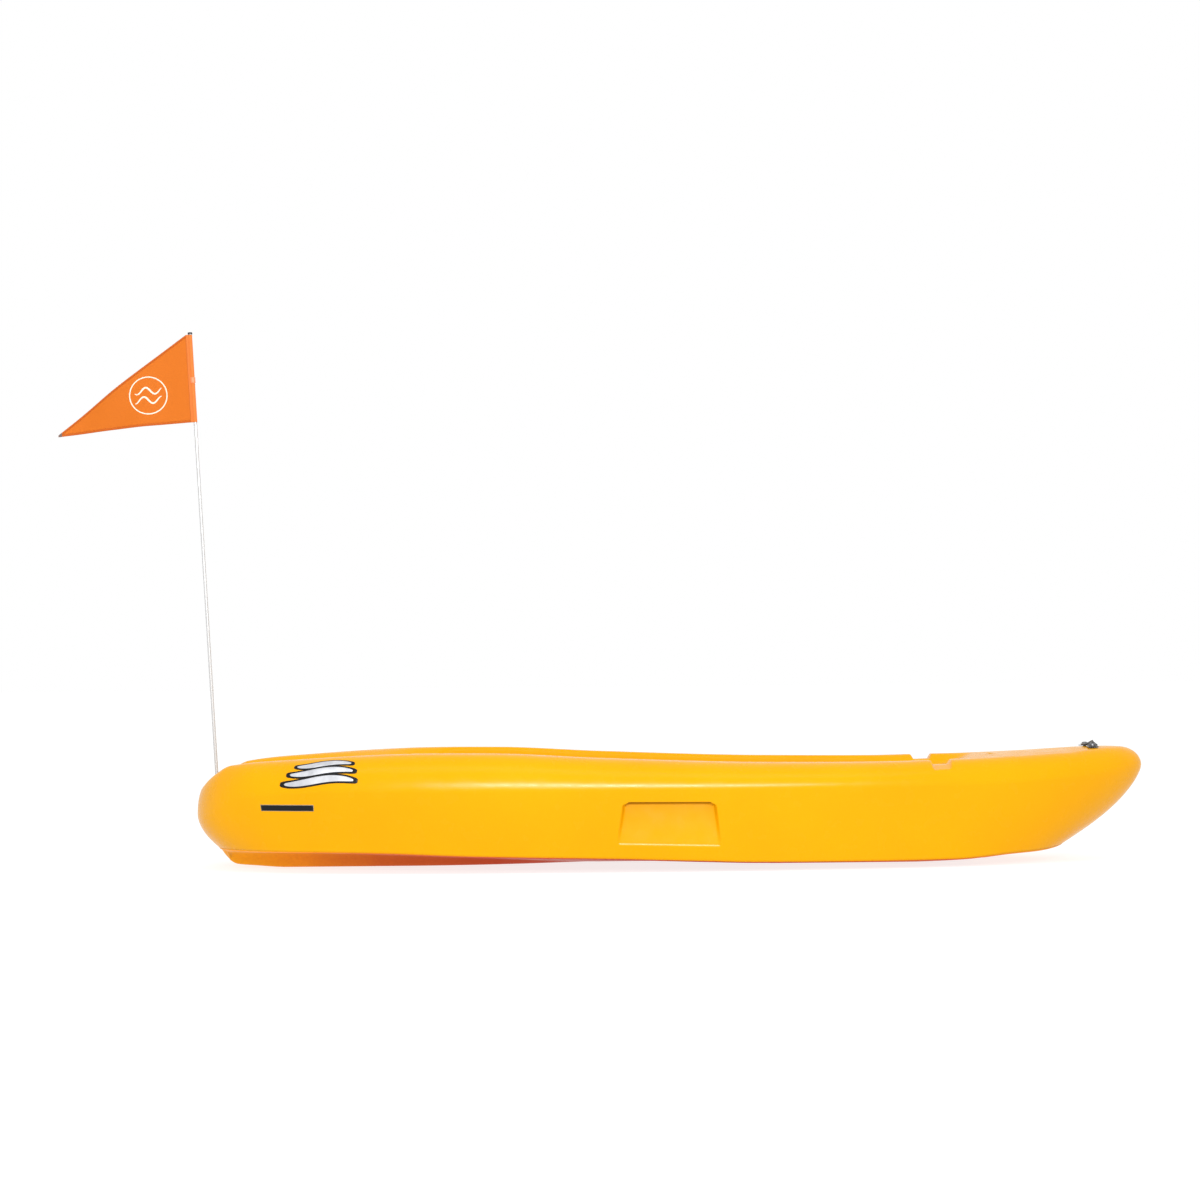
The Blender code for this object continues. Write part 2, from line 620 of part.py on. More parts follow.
def patch(name, ring_of, levels, stations, side, material):
    """A thin sheet that lies on the side of the hull, clear of it by the gap."""
    mirror = np.array([1.0, -side, 1.0])
    rows = [ring_of(stations, level) * mirror for level in levels]
    grid = np.stack(rows)
    along = np.gradient(grid, axis=1)
    down = np.gradient(grid, axis=0)
    normals = np.cross(along, down)
    normals /= np.linalg.norm(normals, axis=2)[:, :, None]
    outward = np.sign(np.sum(normals[:, :, 1]) * side)
    normals *= outward
    mesh = bmesh.new()
    skins = []
    for lift in (GAP, GAP + 0.0005):
        skins.append([[mesh.verts.new(p) for p in row] for row in grid + normals * lift])
    for skin in skins:
        for r in range(len(levels) - 1):
            for c in range(len(stations) - 1):
                mesh.faces.new((skin[r][c], skin[r][c + 1], skin[r + 1][c + 1], skin[r + 1][c]))
    edge = [(0, c) for c in range(len(stations))] + [(r, len(stations) - 1) for r in range(1, len(levels))]
    edge += [(len(levels) - 1, c) for c in range(len(stations) - 2, -1, -1)]
    edge += [(r, 0) for r in range(len(levels) - 2, 0, -1)]
    add_band(mesh, [skins[0][r][c] for r, c in edge], [skins[1][r][c] for r, c in edge])
    bmesh.ops.recalc_face_normals(mesh, faces=mesh.faces)
    return finished(name, mesh, material, smooth_angle=60.0)


def make_graphics(silver, black):
    stations = np.linspace(-0.735, -0.581, 9)
    angles = [68.0, 56.0, 44.0, 32.0, 20.0, 8.0]
    patch("graphic_starboard", shoulder_ring, angles, stations, -1, silver)
    patch("graphic_port", shoulder_ring, angles, stations, 1, silver)
    patch("serial_plate", side_at, [0.1304, 0.1245, 0.1186], np.linspace(-0.772, -0.668, 7), -1, black)


# ---- foam ----

def make_foam(foam):
    blocks = {"foam_bow": ((0.48, 0.68), (0.085, 0.055), (0.045, 0.150)),
              "foam_stern": ((-0.79, -0.53), (0.120, 0.160), (0.048, 0.135))}
    for name, ((aft, fore), (aft_half, fore_half), (low, high)) in blocks.items():
        outline = [(aft, -aft_half), (fore, -fore_half), (fore, fore_half), (aft, aft_half)]
        finished(name, extruded_mesh(outline, low, high), foam)


def build():
    clear_scene()
    yellow = plastic("deck_yellow", (1.0, 0.56, 0.01), 0.38)
    orange = plastic("hull_orange", (0.75, 0.10, 0.02), 0.38)
    rod = plastic("pole_white", (0.80, 0.80, 0.76), 0.35)
    black = plastic("black_plastic", (0.02, 0.02, 0.02), 0.45)
    rubber = plastic("black_rubber", (0.015, 0.015, 0.015), 0.75)
    grey = plastic("grey_plastic", (0.10, 0.10, 0.11), 0.5)
    webbing = plastic("black_webbing", (0.012, 0.012, 0.013), 0.85)
    cloth = plastic("flag_orange", (0.95, 0.20, 0.01), 0.7)
    pale = plastic("flag_clip_plastic", (0.90, 0.45, 0.20), 0.5)
    silver = plastic("graphic_silver", (0.55, 0.55, 0.56), 0.35, 0.4)
    steel = plastic("blackened_steel", (0.16, 0.16, 0.165), 0.35, 1.0)
    brass = plastic("brass", (0.70, 0.48, 0.20), 0.35, 1.0)
    foam = plastic("white_foam", (0.85, 0.85, 0.83), 0.9)
    deck_shell = make_hull(yellow, orange)
    make_flag(deck_shell, rod, black, cloth, pale, grey)
    make_drain(deck_shell, black, rubber, grey)
    make_strap(deck_shell, webbing, steel, brass)
    make_graphics(silver, black)
    make_foam(foam)


build()
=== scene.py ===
import math

import bmesh
import bpy
import numpy as np
from mathutils import Matrix, Vector


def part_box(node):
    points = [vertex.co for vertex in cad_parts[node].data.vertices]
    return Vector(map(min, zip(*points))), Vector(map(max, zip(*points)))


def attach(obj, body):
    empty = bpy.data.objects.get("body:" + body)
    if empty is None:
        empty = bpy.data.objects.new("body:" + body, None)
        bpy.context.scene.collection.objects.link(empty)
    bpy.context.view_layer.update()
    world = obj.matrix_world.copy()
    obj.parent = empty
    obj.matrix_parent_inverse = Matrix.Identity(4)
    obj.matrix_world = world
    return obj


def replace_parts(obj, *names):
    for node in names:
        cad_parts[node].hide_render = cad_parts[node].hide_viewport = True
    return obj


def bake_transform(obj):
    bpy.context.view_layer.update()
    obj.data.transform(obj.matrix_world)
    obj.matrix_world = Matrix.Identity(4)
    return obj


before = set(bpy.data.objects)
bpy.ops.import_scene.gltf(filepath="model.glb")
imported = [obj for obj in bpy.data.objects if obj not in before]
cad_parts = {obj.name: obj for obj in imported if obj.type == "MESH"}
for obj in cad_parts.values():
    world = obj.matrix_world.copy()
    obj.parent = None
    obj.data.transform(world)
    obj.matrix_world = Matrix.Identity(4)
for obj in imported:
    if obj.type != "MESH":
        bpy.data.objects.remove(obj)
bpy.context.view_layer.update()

# ---- the hull's driving dimensions, as in the CAD ----
HALF_LENGTH = 0.914
HALF_BEAM = 0.311
WIDEST_X = -0.10
WALL = 0.0035
SHEER = [(-0.914, 0.148), (-0.900, 0.158), (-0.885, 0.169), (-0.860, 0.187), (-0.833, 0.201),
         (-0.742, 0.210), (-0.459, 0.222), (-0.337, 0.221), (-0.135, 0.211), (0.189, 0.200), (0.391, 0.1985),
         (0.547, 0.2027), (0.665, 0.2098), (0.840, 0.2185), (0.880, 0.217), (0.914, 0.208)]
WIDEST_HEIGHT = [(-0.914, 0.105), (-0.80, 0.145), (-0.60, 0.155), (0.55, 0.155), (0.80, 0.168),
                 (0.914, 0.182)]
SHOULDER_WIDTH = [(-0.914, 0.016), (-0.84, 0.040), (-0.70, 0.056), (-0.20, 0.061), (0.30, 0.055),
                  (0.60, 0.047), (0.914, 0.045)]
PARTING_HEIGHT = [(-0.914, 0.041), (-0.80, 0.0415), (-0.68, 0.0415), (-0.54, 0.039), (-0.38, 0.0325),
                  (-0.10, 0.0255), (-0.02, 0.0228), (0.06, 0.020), (0.15, 0.0172), (0.45, 0.015),
                  (0.53, 0.0155), (0.60, 0.019), (0.66, 0.0225), (0.75, 0.025), (0.914, 0.032)]
BOTTOM_HEIGHT = [(-0.88, 0.034), (-0.85, 0.030), (-0.68, 0.027), (-0.38, 0.016), (-0.14, 0.0065),
                 (0.06, 0.0065), (0.20, 0.0), (0.45, 0.0), (0.53, 0.002), (0.60, 0.007),
                 (0.68, 0.0115), (0.72, 0.018), (0.76, 0.032)]
KEEL_HEIGHT = [(-0.873, 0.034), (-0.862, 0.023), (-0.850, 0.013), (-0.838, 0.007), (-0.804, 0.004),
               (-0.74, 0.0), (-0.50, 0.0), (-0.14, 0.0065), (-0.10, 0.10)]
DECK_FAN = (-0.66, 0.56)      # centres of the deck's round ends
HULL_FAN = (-0.845, 0.56)     # centres of the bottom's round ends
FOREDECK_X = 0.62             # the deck is closed and crowned ahead of this
CROWN = 0.006
SEAT_FLOOR = [(-0.914, 0.160), (-0.80, 0.160), (-0.56, 0.197), (-0.50, 0.200), (-0.462, 0.198),
              (-0.415, 0.092), (-0.36, 0.074), (-0.16, 0.070), (-0.10, 0.080)]
LEG_RIDGE = SEAT_FLOOR + [(-0.05, 0.100), (0.20, 0.112), (0.36, 0.135), (0.44, 0.172), (0.54, 0.182),
                          (FOREDECK_X, 0.206)]
WELL_FLOOR_Z = 0.060
STEP_START = 0.14
STEP_PITCH = 0.060
STEP_RAMP = 0.012
STEP_RISE = 0.014
STEP_COUNT = 4
PAD_Z = 0.160                 # the level pad at the stern
GRIP_TOP = 0.815
GRIP_BOTTOM = 0.23
GRIP_AFT = (-0.104, -0.092)
GRIP_FORE = (0.086, 0.0755)
GRIP_INSET = 0.0235
GRIP_UNDERCUT = 0.005
NOTCH_X = 0.504
NOTCH_FLAT = 0.0135
NOTCH_SLOPE = 0.0075
NOTCH_DEPTH = 0.010
KEEL_HALF = 0.025
KEEL_FOOT = 0.045
KEEL_SHARE = 8.0              # per metre of a ring's width: the most that the keel takes of it
CHINE = 0.004
CHINE_DROP = 0.002
STEM_EASE = 0.06
FLAT_HALF = 0.045
SIDES = ((-1, "starboard"), (1, "port"))


# ---- curves and surfaces of the hull ----

def smooth(value, low, high):
    t = np.clip((value - low) / (high - low), 0.0, 1.0)
    return t * t * (3.0 - 2.0 * t)


def follow(points, x):
    """A smooth curve through (x, value) points that never overshoots them."""
    knots, values = np.array(points).T
    steps = np.diff(knots)
    secants = np.diff(values) / steps
    slopes = np.zeros(len(knots))
    before, after = secants[:-1], secants[1:]
    turning = before * after <= 0.0
    total = np.where(turning, 1.0, before + after)
    slopes[1:-1] = np.where(turning, 0.0, 2.0 * before * after / total)
    i = np.clip(np.searchsorted(knots, x, side="right") - 1, 0, len(steps) - 1)
    t = np.clip((x - knots[i]) / steps[i], 0.0, 1.0)
    rise = values[i + 1] - values[i]
    bend = t * (1.0 - t)
    return (values[i] + rise * t * t * (3.0 - 2.0 * t)
            + steps[i] * bend * (slopes[i] * (1.0 - t) - slopes[i + 1] * t))


def half_beam(x):
    bow = np.clip((x - WIDEST_X) / (HALF_LENGTH - WIDEST_X), 0.0, 1.0)
    stern = np.clip((WIDEST_X - x) / (HALF_LENGTH + WIDEST_X), 0.0, 1.0)
    return HALF_BEAM * (1.0 - bow ** 2.2) ** 0.625 * (1.0 - stern ** 4.0) ** 0.42


def ridge_half_width(x):
    return np.maximum(half_beam(x) - follow(SHOULDER_WIDTH, x), 0.10)


def well_floor_curve():
    points = SEAT_FLOOR[:-1] + [(-0.12, 0.071), (-0.06, WELL_FLOOR_Z)]
    z = WELL_FLOOR_Z
    for step in range(STEP_COUNT):
        x = STEP_START + step * STEP_PITCH
        points += [(x, z), (x + STEP_RAMP, z + STEP_RISE)]
        z += STEP_RISE
    return points + [(0.375, z), (0.425, 0.172), (0.54, 0.182), (FOREDECK_X, 0.206)]


WELL_FLOOR = well_floor_curve()


def deck_height(x, y):
    sheer = follow(SHEER, x)
    side = np.abs(y) / ridge_half_width(x)
    crowned = sheer - CROWN * smooth(x, 0.45, 0.80) * side * side
    in_well = smooth(side, 0.13, 0.22)
    floor = follow(LEG_RIDGE, x) * (1.0 - in_well) + follow(WELL_FLOOR, x) * in_well
    floor = np.where(x > FOREDECK_X, crowned, np.minimum(floor, crowned))
    wall_foot = 0.50 + 0.20 * smooth(x, -0.60, -0.48)
    return floor + (crowned - floor) * smooth(side, wall_foot, 0.88)


def notched(x, y, z):
    across = 1.0 - smooth(np.abs(x - NOTCH_X), NOTCH_FLAT, NOTCH_FLAT + NOTCH_SLOPE)
    out = np.abs(y) - ridge_half_width(x)
    floor = follow(SHEER, x) - NOTCH_DEPTH - 0.2 * np.maximum(out, 0.0)
    inner = smooth(out, -0.085, -0.065)
    return z - across * inner * np.maximum(z - floor, 0.0)


def inset_point(px, inset):
    along = np.clip(px, DECK_FAN[0], DECK_FAN[1]) - px
    across = half_beam(px)
    distance = np.hypot(along, across)
    return px + along / distance * inset, -across + across / distance * inset


def shoulder_ring(px, angle):
    width = follow(SHOULDER_WIDTH, px)
    ridge_x, ridge_y = inset_point(px, width)
    ridge_z = deck_height(ridge_x, ridge_y)
    widest_z = follow(WIDEST_HEIGHT, px)
    turn = np.radians(angle)
    x, y = inset_point(px, width * (1.0 - np.cos(turn)))
    z = widest_z + (ridge_z - widest_z) * np.sin(turn)
    return np.stack([x, y, notched(x, y, z)], axis=1)


def parting_inset(px):
    return 0.030 + 0.011 * smooth(-px, 0.70, 0.914) + 0.125 * np.clip((px - 0.45) / 0.464, 0.0, 1.0) ** 3


def side_ring(px, fraction):
    low = follow(PARTING_HEIGHT, px)
    high = follow(WIDEST_HEIGHT, px)
    under = 1.0 - fraction
    bulge = 1.15 + 0.75 * smooth(-px, 0.70, 0.914)
    raked = smooth(px, 0.45, 0.914)
    eased = (math.hypot(under, STEM_EASE) - STEM_EASE) / (math.hypot(1.0, STEM_EASE) - STEM_EASE)
    curve = under ** bulge * (1.0 - raked) + (0.34 * eased + 0.66 * under * under) * raked
    inset = parting_inset(px) * curve
    z = low + (high - low) * fraction
    along = (fraction - GRIP_BOTTOM) / (GRIP_TOP - GRIP_BOTTOM)
    corner = 0.010 * smooth(along, 0.88, 1.0) ** 2
    aft = GRIP_AFT[0] + (GRIP_AFT[1] - GRIP_AFT[0]) * along + corner
    fore = GRIP_FORE[0] + (GRIP_FORE[1] - GRIP_FORE[0]) * along - corner
    in_grip = smooth(px, aft - 0.003, aft + 0.004) * (1.0 - smooth(px, fore - 0.004, fore + 0.003))
    in_grip = in_grip * np.where((fraction >= GRIP_BOTTOM - 0.01) & (fraction <= GRIP_TOP), 1.0, 0.0)
    inset = inset + in_grip * np.maximum(GRIP_INSET - inset, 0.0)
    z = z + in_grip * GRIP_UNDERCUT * smooth(fraction, 0.70, GRIP_TOP)
    x, y = inset_point(px, inset)
    return np.stack([x, y, z], axis=1)


def side_at(px, z):
    """The side at a height above the ground."""
    low = follow(PARTING_HEIGHT, px)
    fractions = (z - low) / (follow(WIDEST_HEIGHT, px) - low)
    return np.concatenate([side_ring(px[i:i + 1], fractions[i]) for i in range(len(px))])


def deck_ring(px, fraction):
    ridge_x, ridge_y = inset_point(px, follow(SHOULDER_WIDTH, px))
    centre_x = np.clip(px, DECK_FAN[0], DECK_FAN[1])
    x = centre_x + (ridge_x - centre_x) * fraction
    y = ridge_y * fraction
    return np.stack([x, y, notched(x, y, deck_height(x, y))], axis=1)


def bottom_ring(px, in_chine, fraction, keel_width=None):
    edge_x, edge_y = inset_point(px, parting_inset(px))
    if keel_width:
        fraction = np.minimum(keel_width / np.maximum(np.abs(edge_y), 1e-4), keel_width * KEEL_SHARE)
    centre_x = np.clip(edge_x, HULL_FAN[0], HULL_FAN[1])
    reach = np.hypot(edge_x - centre_x, edge_y)
    turn = math.radians(90.0 * in_chine)
    chine = np.minimum(CHINE, 0.3 * reach)
    keep = (1.0 - (1.0 - math.cos(turn)) * chine / reach) * fraction
    x = centre_x + (edge_x - centre_x) * keep
    y = edge_y * keep
    flat = follow(BOTTOM_HEIGHT, x)
    keel = np.minimum(follow(KEEL_HEIGHT, x), flat)
    in_keel = 1.0 - smooth(np.abs(y), KEEL_HALF, KEEL_FOOT)
    level = np.minimum(FLAT_HALF / np.maximum(np.abs(edge_y), 1e-4), FLAT_HALF * KEEL_SHARE)
    slope = np.clip((keep - level) / (1.0 - level), 0.0, 1.0)
    rise = (follow(PARTING_HEIGHT, px) - CHINE_DROP * math.sin(turn) - flat) * slope
    return np.stack([x, y, flat + (keel - flat) * in_keel + rise], axis=1)


# ---- mesh helpers ----

def run(start, *stretches):
    """Values from start along stretches of (end, step)."""
    values = []
    for end, step in stretches:
        count = max(1, round(abs(end - start) / step))
        values += list(np.linspace(start, end, count, endpoint=False))
        start = end
    return np.array(values + [start])


def object_from(name, data, material, flat_angle=None):
    data.shade_smooth()
    if flat_angle:
        data.set_sharp_from_angle(angle=math.radians(flat_angle))
    item = bpy.data.objects.new(name, data)
    bpy.context.scene.collection.objects.link(item)
    item.data.materials.append(material)
    return item


def object_from_bmesh(name, mesh, material, flat_angle=30.0):
    bmesh.ops.recalc_face_normals(mesh, faces=mesh.faces)
    data = bpy.data.meshes.new(name)
    mesh.to_mesh(data)
    mesh.free()
    return object_from(name, data, material, flat_angle)


def all_round(half):
    port = half[-2:0:-1] * np.array([1.0, -1.0, 1.0])
    return np.concatenate([half, port])


def ring_sheet(name, rings, holes, material):
    """An open sheet through closed rings, pierced by (centre, radius) holes."""
    points = np.concatenate(rings)
    count = len(rings[0])
    i = np.arange(count)
    j = (i + 1) % count
    bands = []
    for start in np.arange(len(rings) - 1) * count:
        bands.append(np.stack([start + i, start + count + i, start + count + j, start + j], axis=1))
    faces = np.concatenate(bands)
    data = bpy.data.meshes.new(name)
    data.from_pydata(points.tolist(), [], faces.tolist())
    mesh = bmesh.new()
    mesh.from_mesh(data)
    bmesh.ops.remove_doubles(mesh, verts=mesh.verts, dist=1e-6)
    bmesh.ops.recalc_face_normals(mesh, faces=mesh.faces)
    for centre, radius in holes:
        pierce(mesh, Vector(centre), radius)
    mesh.normal_update()
    mesh.to_mesh(data)
    mesh.free()
    return object_from(name, data, material)


def pierce(mesh, centre, radius):
    """Take out the upward faces within radius of the centre, and round the edge that is left."""
    near = [f for f in mesh.faces if f.normal.z > 0.3 and (f.calc_center_median() - centre).xy.length < radius
            and abs(f.calc_center_median().z - centre.z) < 0.02]
    bmesh.ops.delete(mesh, geom=near, context="FACES")
    for vertex in mesh.verts:
        offset = (vertex.co - centre).xy
        if vertex.is_boundary and offset.length < radius * 1.8 and abs(vertex.co.z - centre.z) < 0.02:
            moved = offset.normalized() * radius
            vertex.co.x = centre.x + moved.x
            vertex.co.y = centre.y + moved.y


def turned(name, profile, material, sides=48, matrix=None):
    """Revolve a closed (radius, height) profile about Z."""
    mesh = bmesh.new()
    columns = []
    for i in range(sides):
        angle = 2.0 * math.pi * i / sides
        columns.append([mesh.verts.new((r * math.cos(angle), r * math.sin(angle), z)) for r, z in profile])
    for i in range(sides):
        here, there = columns[i], columns[(i + 1) % sides]
        for j in range(len(profile)):
            k = (j + 1) % len(profile)
            if profile[j][0] > 0.0 or profile[k][0] > 0.0:
                mesh.faces.new((here[j], there[j], there[k], here[k]))
    bmesh.ops.remove_doubles(mesh, verts=mesh.verts, dist=1e-7)
    if matrix:
        bmesh.ops.transform(mesh, matrix=matrix, verts=mesh.verts)
    return object_from_bmesh(name, mesh, material, 35.0)


# ---- material helpers ----

def new_material(name, colour, roughness, metallic=0.0):
    material = bpy.data.materials.new(name)
    material.use_nodes = True
    shader = material.node_tree.nodes["Principled BSDF"]
    shader.inputs["Base Color"].default_value = (*colour, 1.0)
    shader.inputs["Roughness"].default_value = roughness
    shader.inputs["Metallic"].default_value = metallic
    return material, Tree(material.node_tree, shader)


class Tree:
    """Short names for the nodes that the materials share."""

    def __init__(self, tree, shader):
        self.tree = tree
        self.shader = shader
        self.coords = tree.nodes.new("ShaderNodeTexCoord")

    def link(self, source, target):
        self.tree.links.new(source, target)

    def node(self, kind, **values):
        made = self.tree.nodes.new(kind)
        for key, value in values.items():
            setattr(made, key, value)
        return made

    def mapped(self, scale, source="Object"):
        mapping = self.node("ShaderNodeMapping")
        mapping.inputs["Scale"].default_value = scale
        self.link(self.coords.outputs[source], mapping.inputs["Vector"])
        return mapping.outputs["Vector"]

    def noise(self, scale, detail=3.0, vector=None):
        made = self.node("ShaderNodeTexNoise")
        made.inputs["Scale"].default_value = scale
        made.inputs["Detail"].default_value = detail
        self.link(vector or self.coords.outputs["Object"], made.inputs["Vector"])
        return made.outputs["Fac"]

    def ramp(self, factor, stops):
        made = self.node("ShaderNodeValToRGB")
        elements = made.color_ramp.elements
        while len(elements) < len(stops):
            elements.new(0.5)
        for element, (position, colour) in zip(elements, stops):
            element.position = position
            element.color = (*colour, 1.0)
        self.link(factor, made.inputs["Fac"])
        return made.outputs["Color"]

    def span(self, value, low, high, out_low=0.0, out_high=1.0):
        made = self.node("ShaderNodeMapRange")
        limits = (("From Min", low), ("From Max", high), ("To Min", out_low), ("To Max", out_high))
        for name, number in limits:
            made.inputs[name].default_value = number
        self.link(value, made.inputs["Value"])
        return made.outputs["Result"]

    def math(self, operation, a, b):
        made = self.node("ShaderNodeMath", operation=operation)
        for socket, value in zip(made.inputs, (a, b)):
            if isinstance(value, (int, float)):
                socket.default_value = value
            else:
                self.link(value, socket)
        return made.outputs["Value"]

    def mix(self, factor, a, b, blend="MIX"):
        made = self.node("ShaderNodeMix", data_type="RGBA", blend_type=blend)
        for socket, value in ((made.inputs[0], factor), (made.inputs[6], a), (made.inputs[7], b)):
            if isinstance(value, (int, float)):
                socket.default_value = value
            elif isinstance(value, tuple):
                socket.default_value = (*value, 1.0)
            else:
                self.link(value, socket)
        return made.outputs[2]

    def bump(self, height, strength, distance, below=None):
        made = self.node("ShaderNodeBump")
        made.inputs["Strength"].default_value = strength
        made.inputs["Distance"].default_value = distance
        self.link(height, made.inputs["Height"])
        if below:
            self.link(below, made.inputs["Normal"])
        return made.outputs["Normal"]

    def colour(self, source):
        self.link(source, self.shader.inputs["Base Color"])

    def mottle(self, scale, dark, light, detail=3.0):
        """A colour that drifts between two shades."""
        self.colour(self.ramp(self.noise(scale, detail), [(0.3, dark), (0.7, light)]))

    def roughness(self, source):
        self.link(source, self.shader.inputs["Roughness"])

    def normal(self, source):
        self.link(source, self.shader.inputs["Normal"])


def moulded_finish(tree, rough_low, rough_high):
    """The grain of a moulded plastic skin: slow waviness, a pebble grain and fine scratches."""
    wavy = tree.bump(tree.noise(22.0, 2.0), 0.25, 0.0012)
    pebble = tree.bump(tree.noise(900.0, 2.0), 0.16, 0.0003, wavy)
    scratches = tree.noise(1.0, 4.0, tree.mapped((60.0, 700.0, 700.0)))
    tree.normal(tree.bump(tree.span(scratches, 0.62, 0.72), 0.10, 0.0001, pebble))
    tree.roughness(tree.span(tree.noise(35.0, 4.0), 0.3, 0.7, rough_low, rough_high))


def painted_grip_shade(tree):
    """Painted shade: a mask over the roof of the moulded hand grips, just behind their upper lip, where
    shadow falls.
    """
    split = tree.node("ShaderNodeSeparateXYZ")
    tree.link(tree.coords.outputs["Object"], split.inputs[0])
    along = tree.math("ABSOLUTE", tree.math("ADD", split.outputs["X"], 0.009), 0.0)
    out = tree.math("ABSOLUTE", split.outputs["Y"], 0.0)
    inside = tree.math("MULTIPLY", tree.span(out, 0.297, 0.301, 1.0, 0.0), tree.span(out, 0.262, 0.270))
    above = tree.span(split.outputs["Z"], 0.1265, 0.1305)
    below = tree.span(split.outputs["Z"], 0.140, 0.144, 1.0, 0.0)
    roof = tree.math("MULTIPLY", inside, tree.math("MULTIPLY", above, below))
    return tree.math("MULTIPLY", roof, tree.span(along, 0.088, 0.093, 0.85, 0.0))


def yellow_plastic():
    material, tree = new_material("yellow_plastic", (0.80, 0.39, 0.0015), 0.36)
    tree.shader.inputs["Specular IOR Level"].default_value = 0.07
    broad = tree.ramp(tree.noise(5.0, 3.0), [(0.3, (0.70, 0.312, 0.0010)), (0.7, (0.74, 0.335, 0.0010))])
    fine = tree.span(tree.noise(160.0, 4.0), 0.3, 0.7, 0.0, 0.10)
    # painted shade: the grip roofs are darkened towards (0.22, 0.07, 0.001) to stand in for the shadow under
    # the lip
    tree.colour(tree.mix(painted_grip_shade(tree), tree.mix(fine, broad, (0.64, 0.26, 0.001)), (0.22, 0.07, 0.001)))
    moulded_finish(tree, 0.20, 0.30)
    return material


def hull_plastic():
    material, tree = new_material("hull_plastic", (0.6, 0.05, 0.02), 0.38)
    split = tree.node("ShaderNodeSeparateXYZ")
    tree.link(tree.coords.outputs["Object"], split.inputs[0])
    cloud = tree.span(tree.noise(7.0, 4.0), 0.2, 0.8, -0.05, 0.05)
    along = tree.span(tree.math("ADD", split.outputs["X"], cloud), -0.95, 0.95)
    fade = tree.ramp(along, [(0.05, (0.88, 0.36, 0.006)), (0.12, (0.84, 0.27, 0.010)),
                             (0.20, (0.62, 0.125, 0.016)), (0.33, (0.50, 0.060, 0.014)),
                             (0.55, (0.36, 0.030, 0.010)), (0.78, (0.52, 0.08, 0.010)),
                             (0.88, (0.86, 0.33, 0.006))])
    tree.shader.inputs["Specular IOR Level"].default_value = 0.10
    fine = tree.span(tree.noise(160.0, 4.0), 0.3, 0.7, 0.0, 0.12)
    tree.colour(tree.mix(fine, fade, (0.30, 0.03, 0.01)))
    moulded_finish(tree, 0.32, 0.48)
    return material


def black_plastic():
    material, tree = new_material("black_plastic", (0.018, 0.018, 0.019), 0.42)
    tree.mottle(90.0, (0.014, 0.014, 0.015), (0.026, 0.026, 0.027))
    tree.normal(tree.bump(tree.noise(1400.0, 2.0), 0.35, 0.0002))
    tree.roughness(tree.span(tree.noise(60.0), 0.3, 0.7, 0.36, 0.52))
    return material


def rubber():
    material, tree = new_material("seal_rubber", (0.014, 0.014, 0.014), 0.75)
    tree.mottle(120.0, (0.011, 0.011, 0.011), (0.024, 0.023, 0.022))
    tree.normal(tree.bump(tree.noise(900.0), 0.3, 0.0002))
    return material


def glass_fibre():
    material, tree = new_material("pole_glass_fibre", (0.80, 0.80, 0.77), 0.30)
    strands = tree.noise(1.0, 5.0, tree.mapped((2600.0, 2600.0, 9.0)))
    tree.colour(tree.ramp(strands, [(0.3, (0.40, 0.40, 0.40)), (0.7, (0.49, 0.49, 0.49))]))
    tree.normal(tree.bump(strands, 0.25, 0.0001))
    tree.shader.inputs["Coat Weight"].default_value = 0.3
    return material


def metal(name, dark, light, rough):
    material, tree = new_material(name, light, rough, 1.0)
    tree.mottle(300.0, dark, light, 4.0)
    tree.normal(tree.bump(tree.noise(1.0, 3.0, tree.mapped((4000.0, 400.0, 4000.0))), 0.15, 0.0001))
    tree.roughness(tree.span(tree.noise(500.0), 0.3, 0.7, rough - 0.06, rough + 0.08))
    return material


def silver_film():
    material, tree = new_material("silver_film", (0.60, 0.61, 0.62), 0.34, 0.55)
    tree.mottle(45.0, (0.46, 0.47, 0.50), (0.62, 0.63, 0.66), 2.0)
    tree.normal(tree.bump(tree.noise(700.0), 0.10, 0.0001))
    return material


def foam():
    material, tree = new_material("white_foam", (0.85, 0.85, 0.83), 0.9)
    tree.mottle(250.0, (0.78, 0.78, 0.76), (0.88, 0.88, 0.86))
    tree.normal(tree.bump(tree.noise(260.0, 1.0), 0.6, 0.001))
    return material


def woven(name, dark, light, pitch, rough, sheen):
    """Plain-weave fabric from the piece's UV map, which is in metres."""
    material, tree = new_material(name, light, rough)
    uv = tree.coords.outputs["UV"]
    heights = []
    for direction in ("X", "Y"):
        wave = tree.node("ShaderNodeTexWave", bands_direction=direction)
        wave.inputs["Scale"].default_value = 1.0 / (pitch * 6.2)
        wave.inputs["Distortion"].default_value = 0.15
        tree.link(uv, wave.inputs["Vector"])
        heights.append(wave.outputs["Fac"])
    weave = tree.math("MULTIPLY", heights[0], heights[1])
    slub = tree.noise(350.0, 4.0)
    shade = tree.math("ADD", tree.math("MULTIPLY", weave, 0.6), tree.math("MULTIPLY", slub, 0.5))
    tree.colour(tree.ramp(shade, [(0.15, dark), (0.75, light)]))
    tree.normal(tree.bump(weave, 0.5, pitch * 0.35))
    tree.shader.inputs["Specular IOR Level"].default_value = 0.15
    tree.shader.inputs["Sheen Weight"].default_value = sheen
    tree.shader.inputs["Sheen Roughness"].default_value = 0.5
    return material


def painted(name, colour, rough):
    """A printed or sewn line: one ink, with a little mottling."""
    material, tree = new_material(name, colour, rough)
    tree.mottle(500.0, tuple(c * 0.88 for c in colour), colour)
    tree.normal(tree.bump(tree.noise(1200.0), 0.2, 0.0001))
    tree.shader.inputs["Specular IOR Level"].default_value = 0.15
    return material


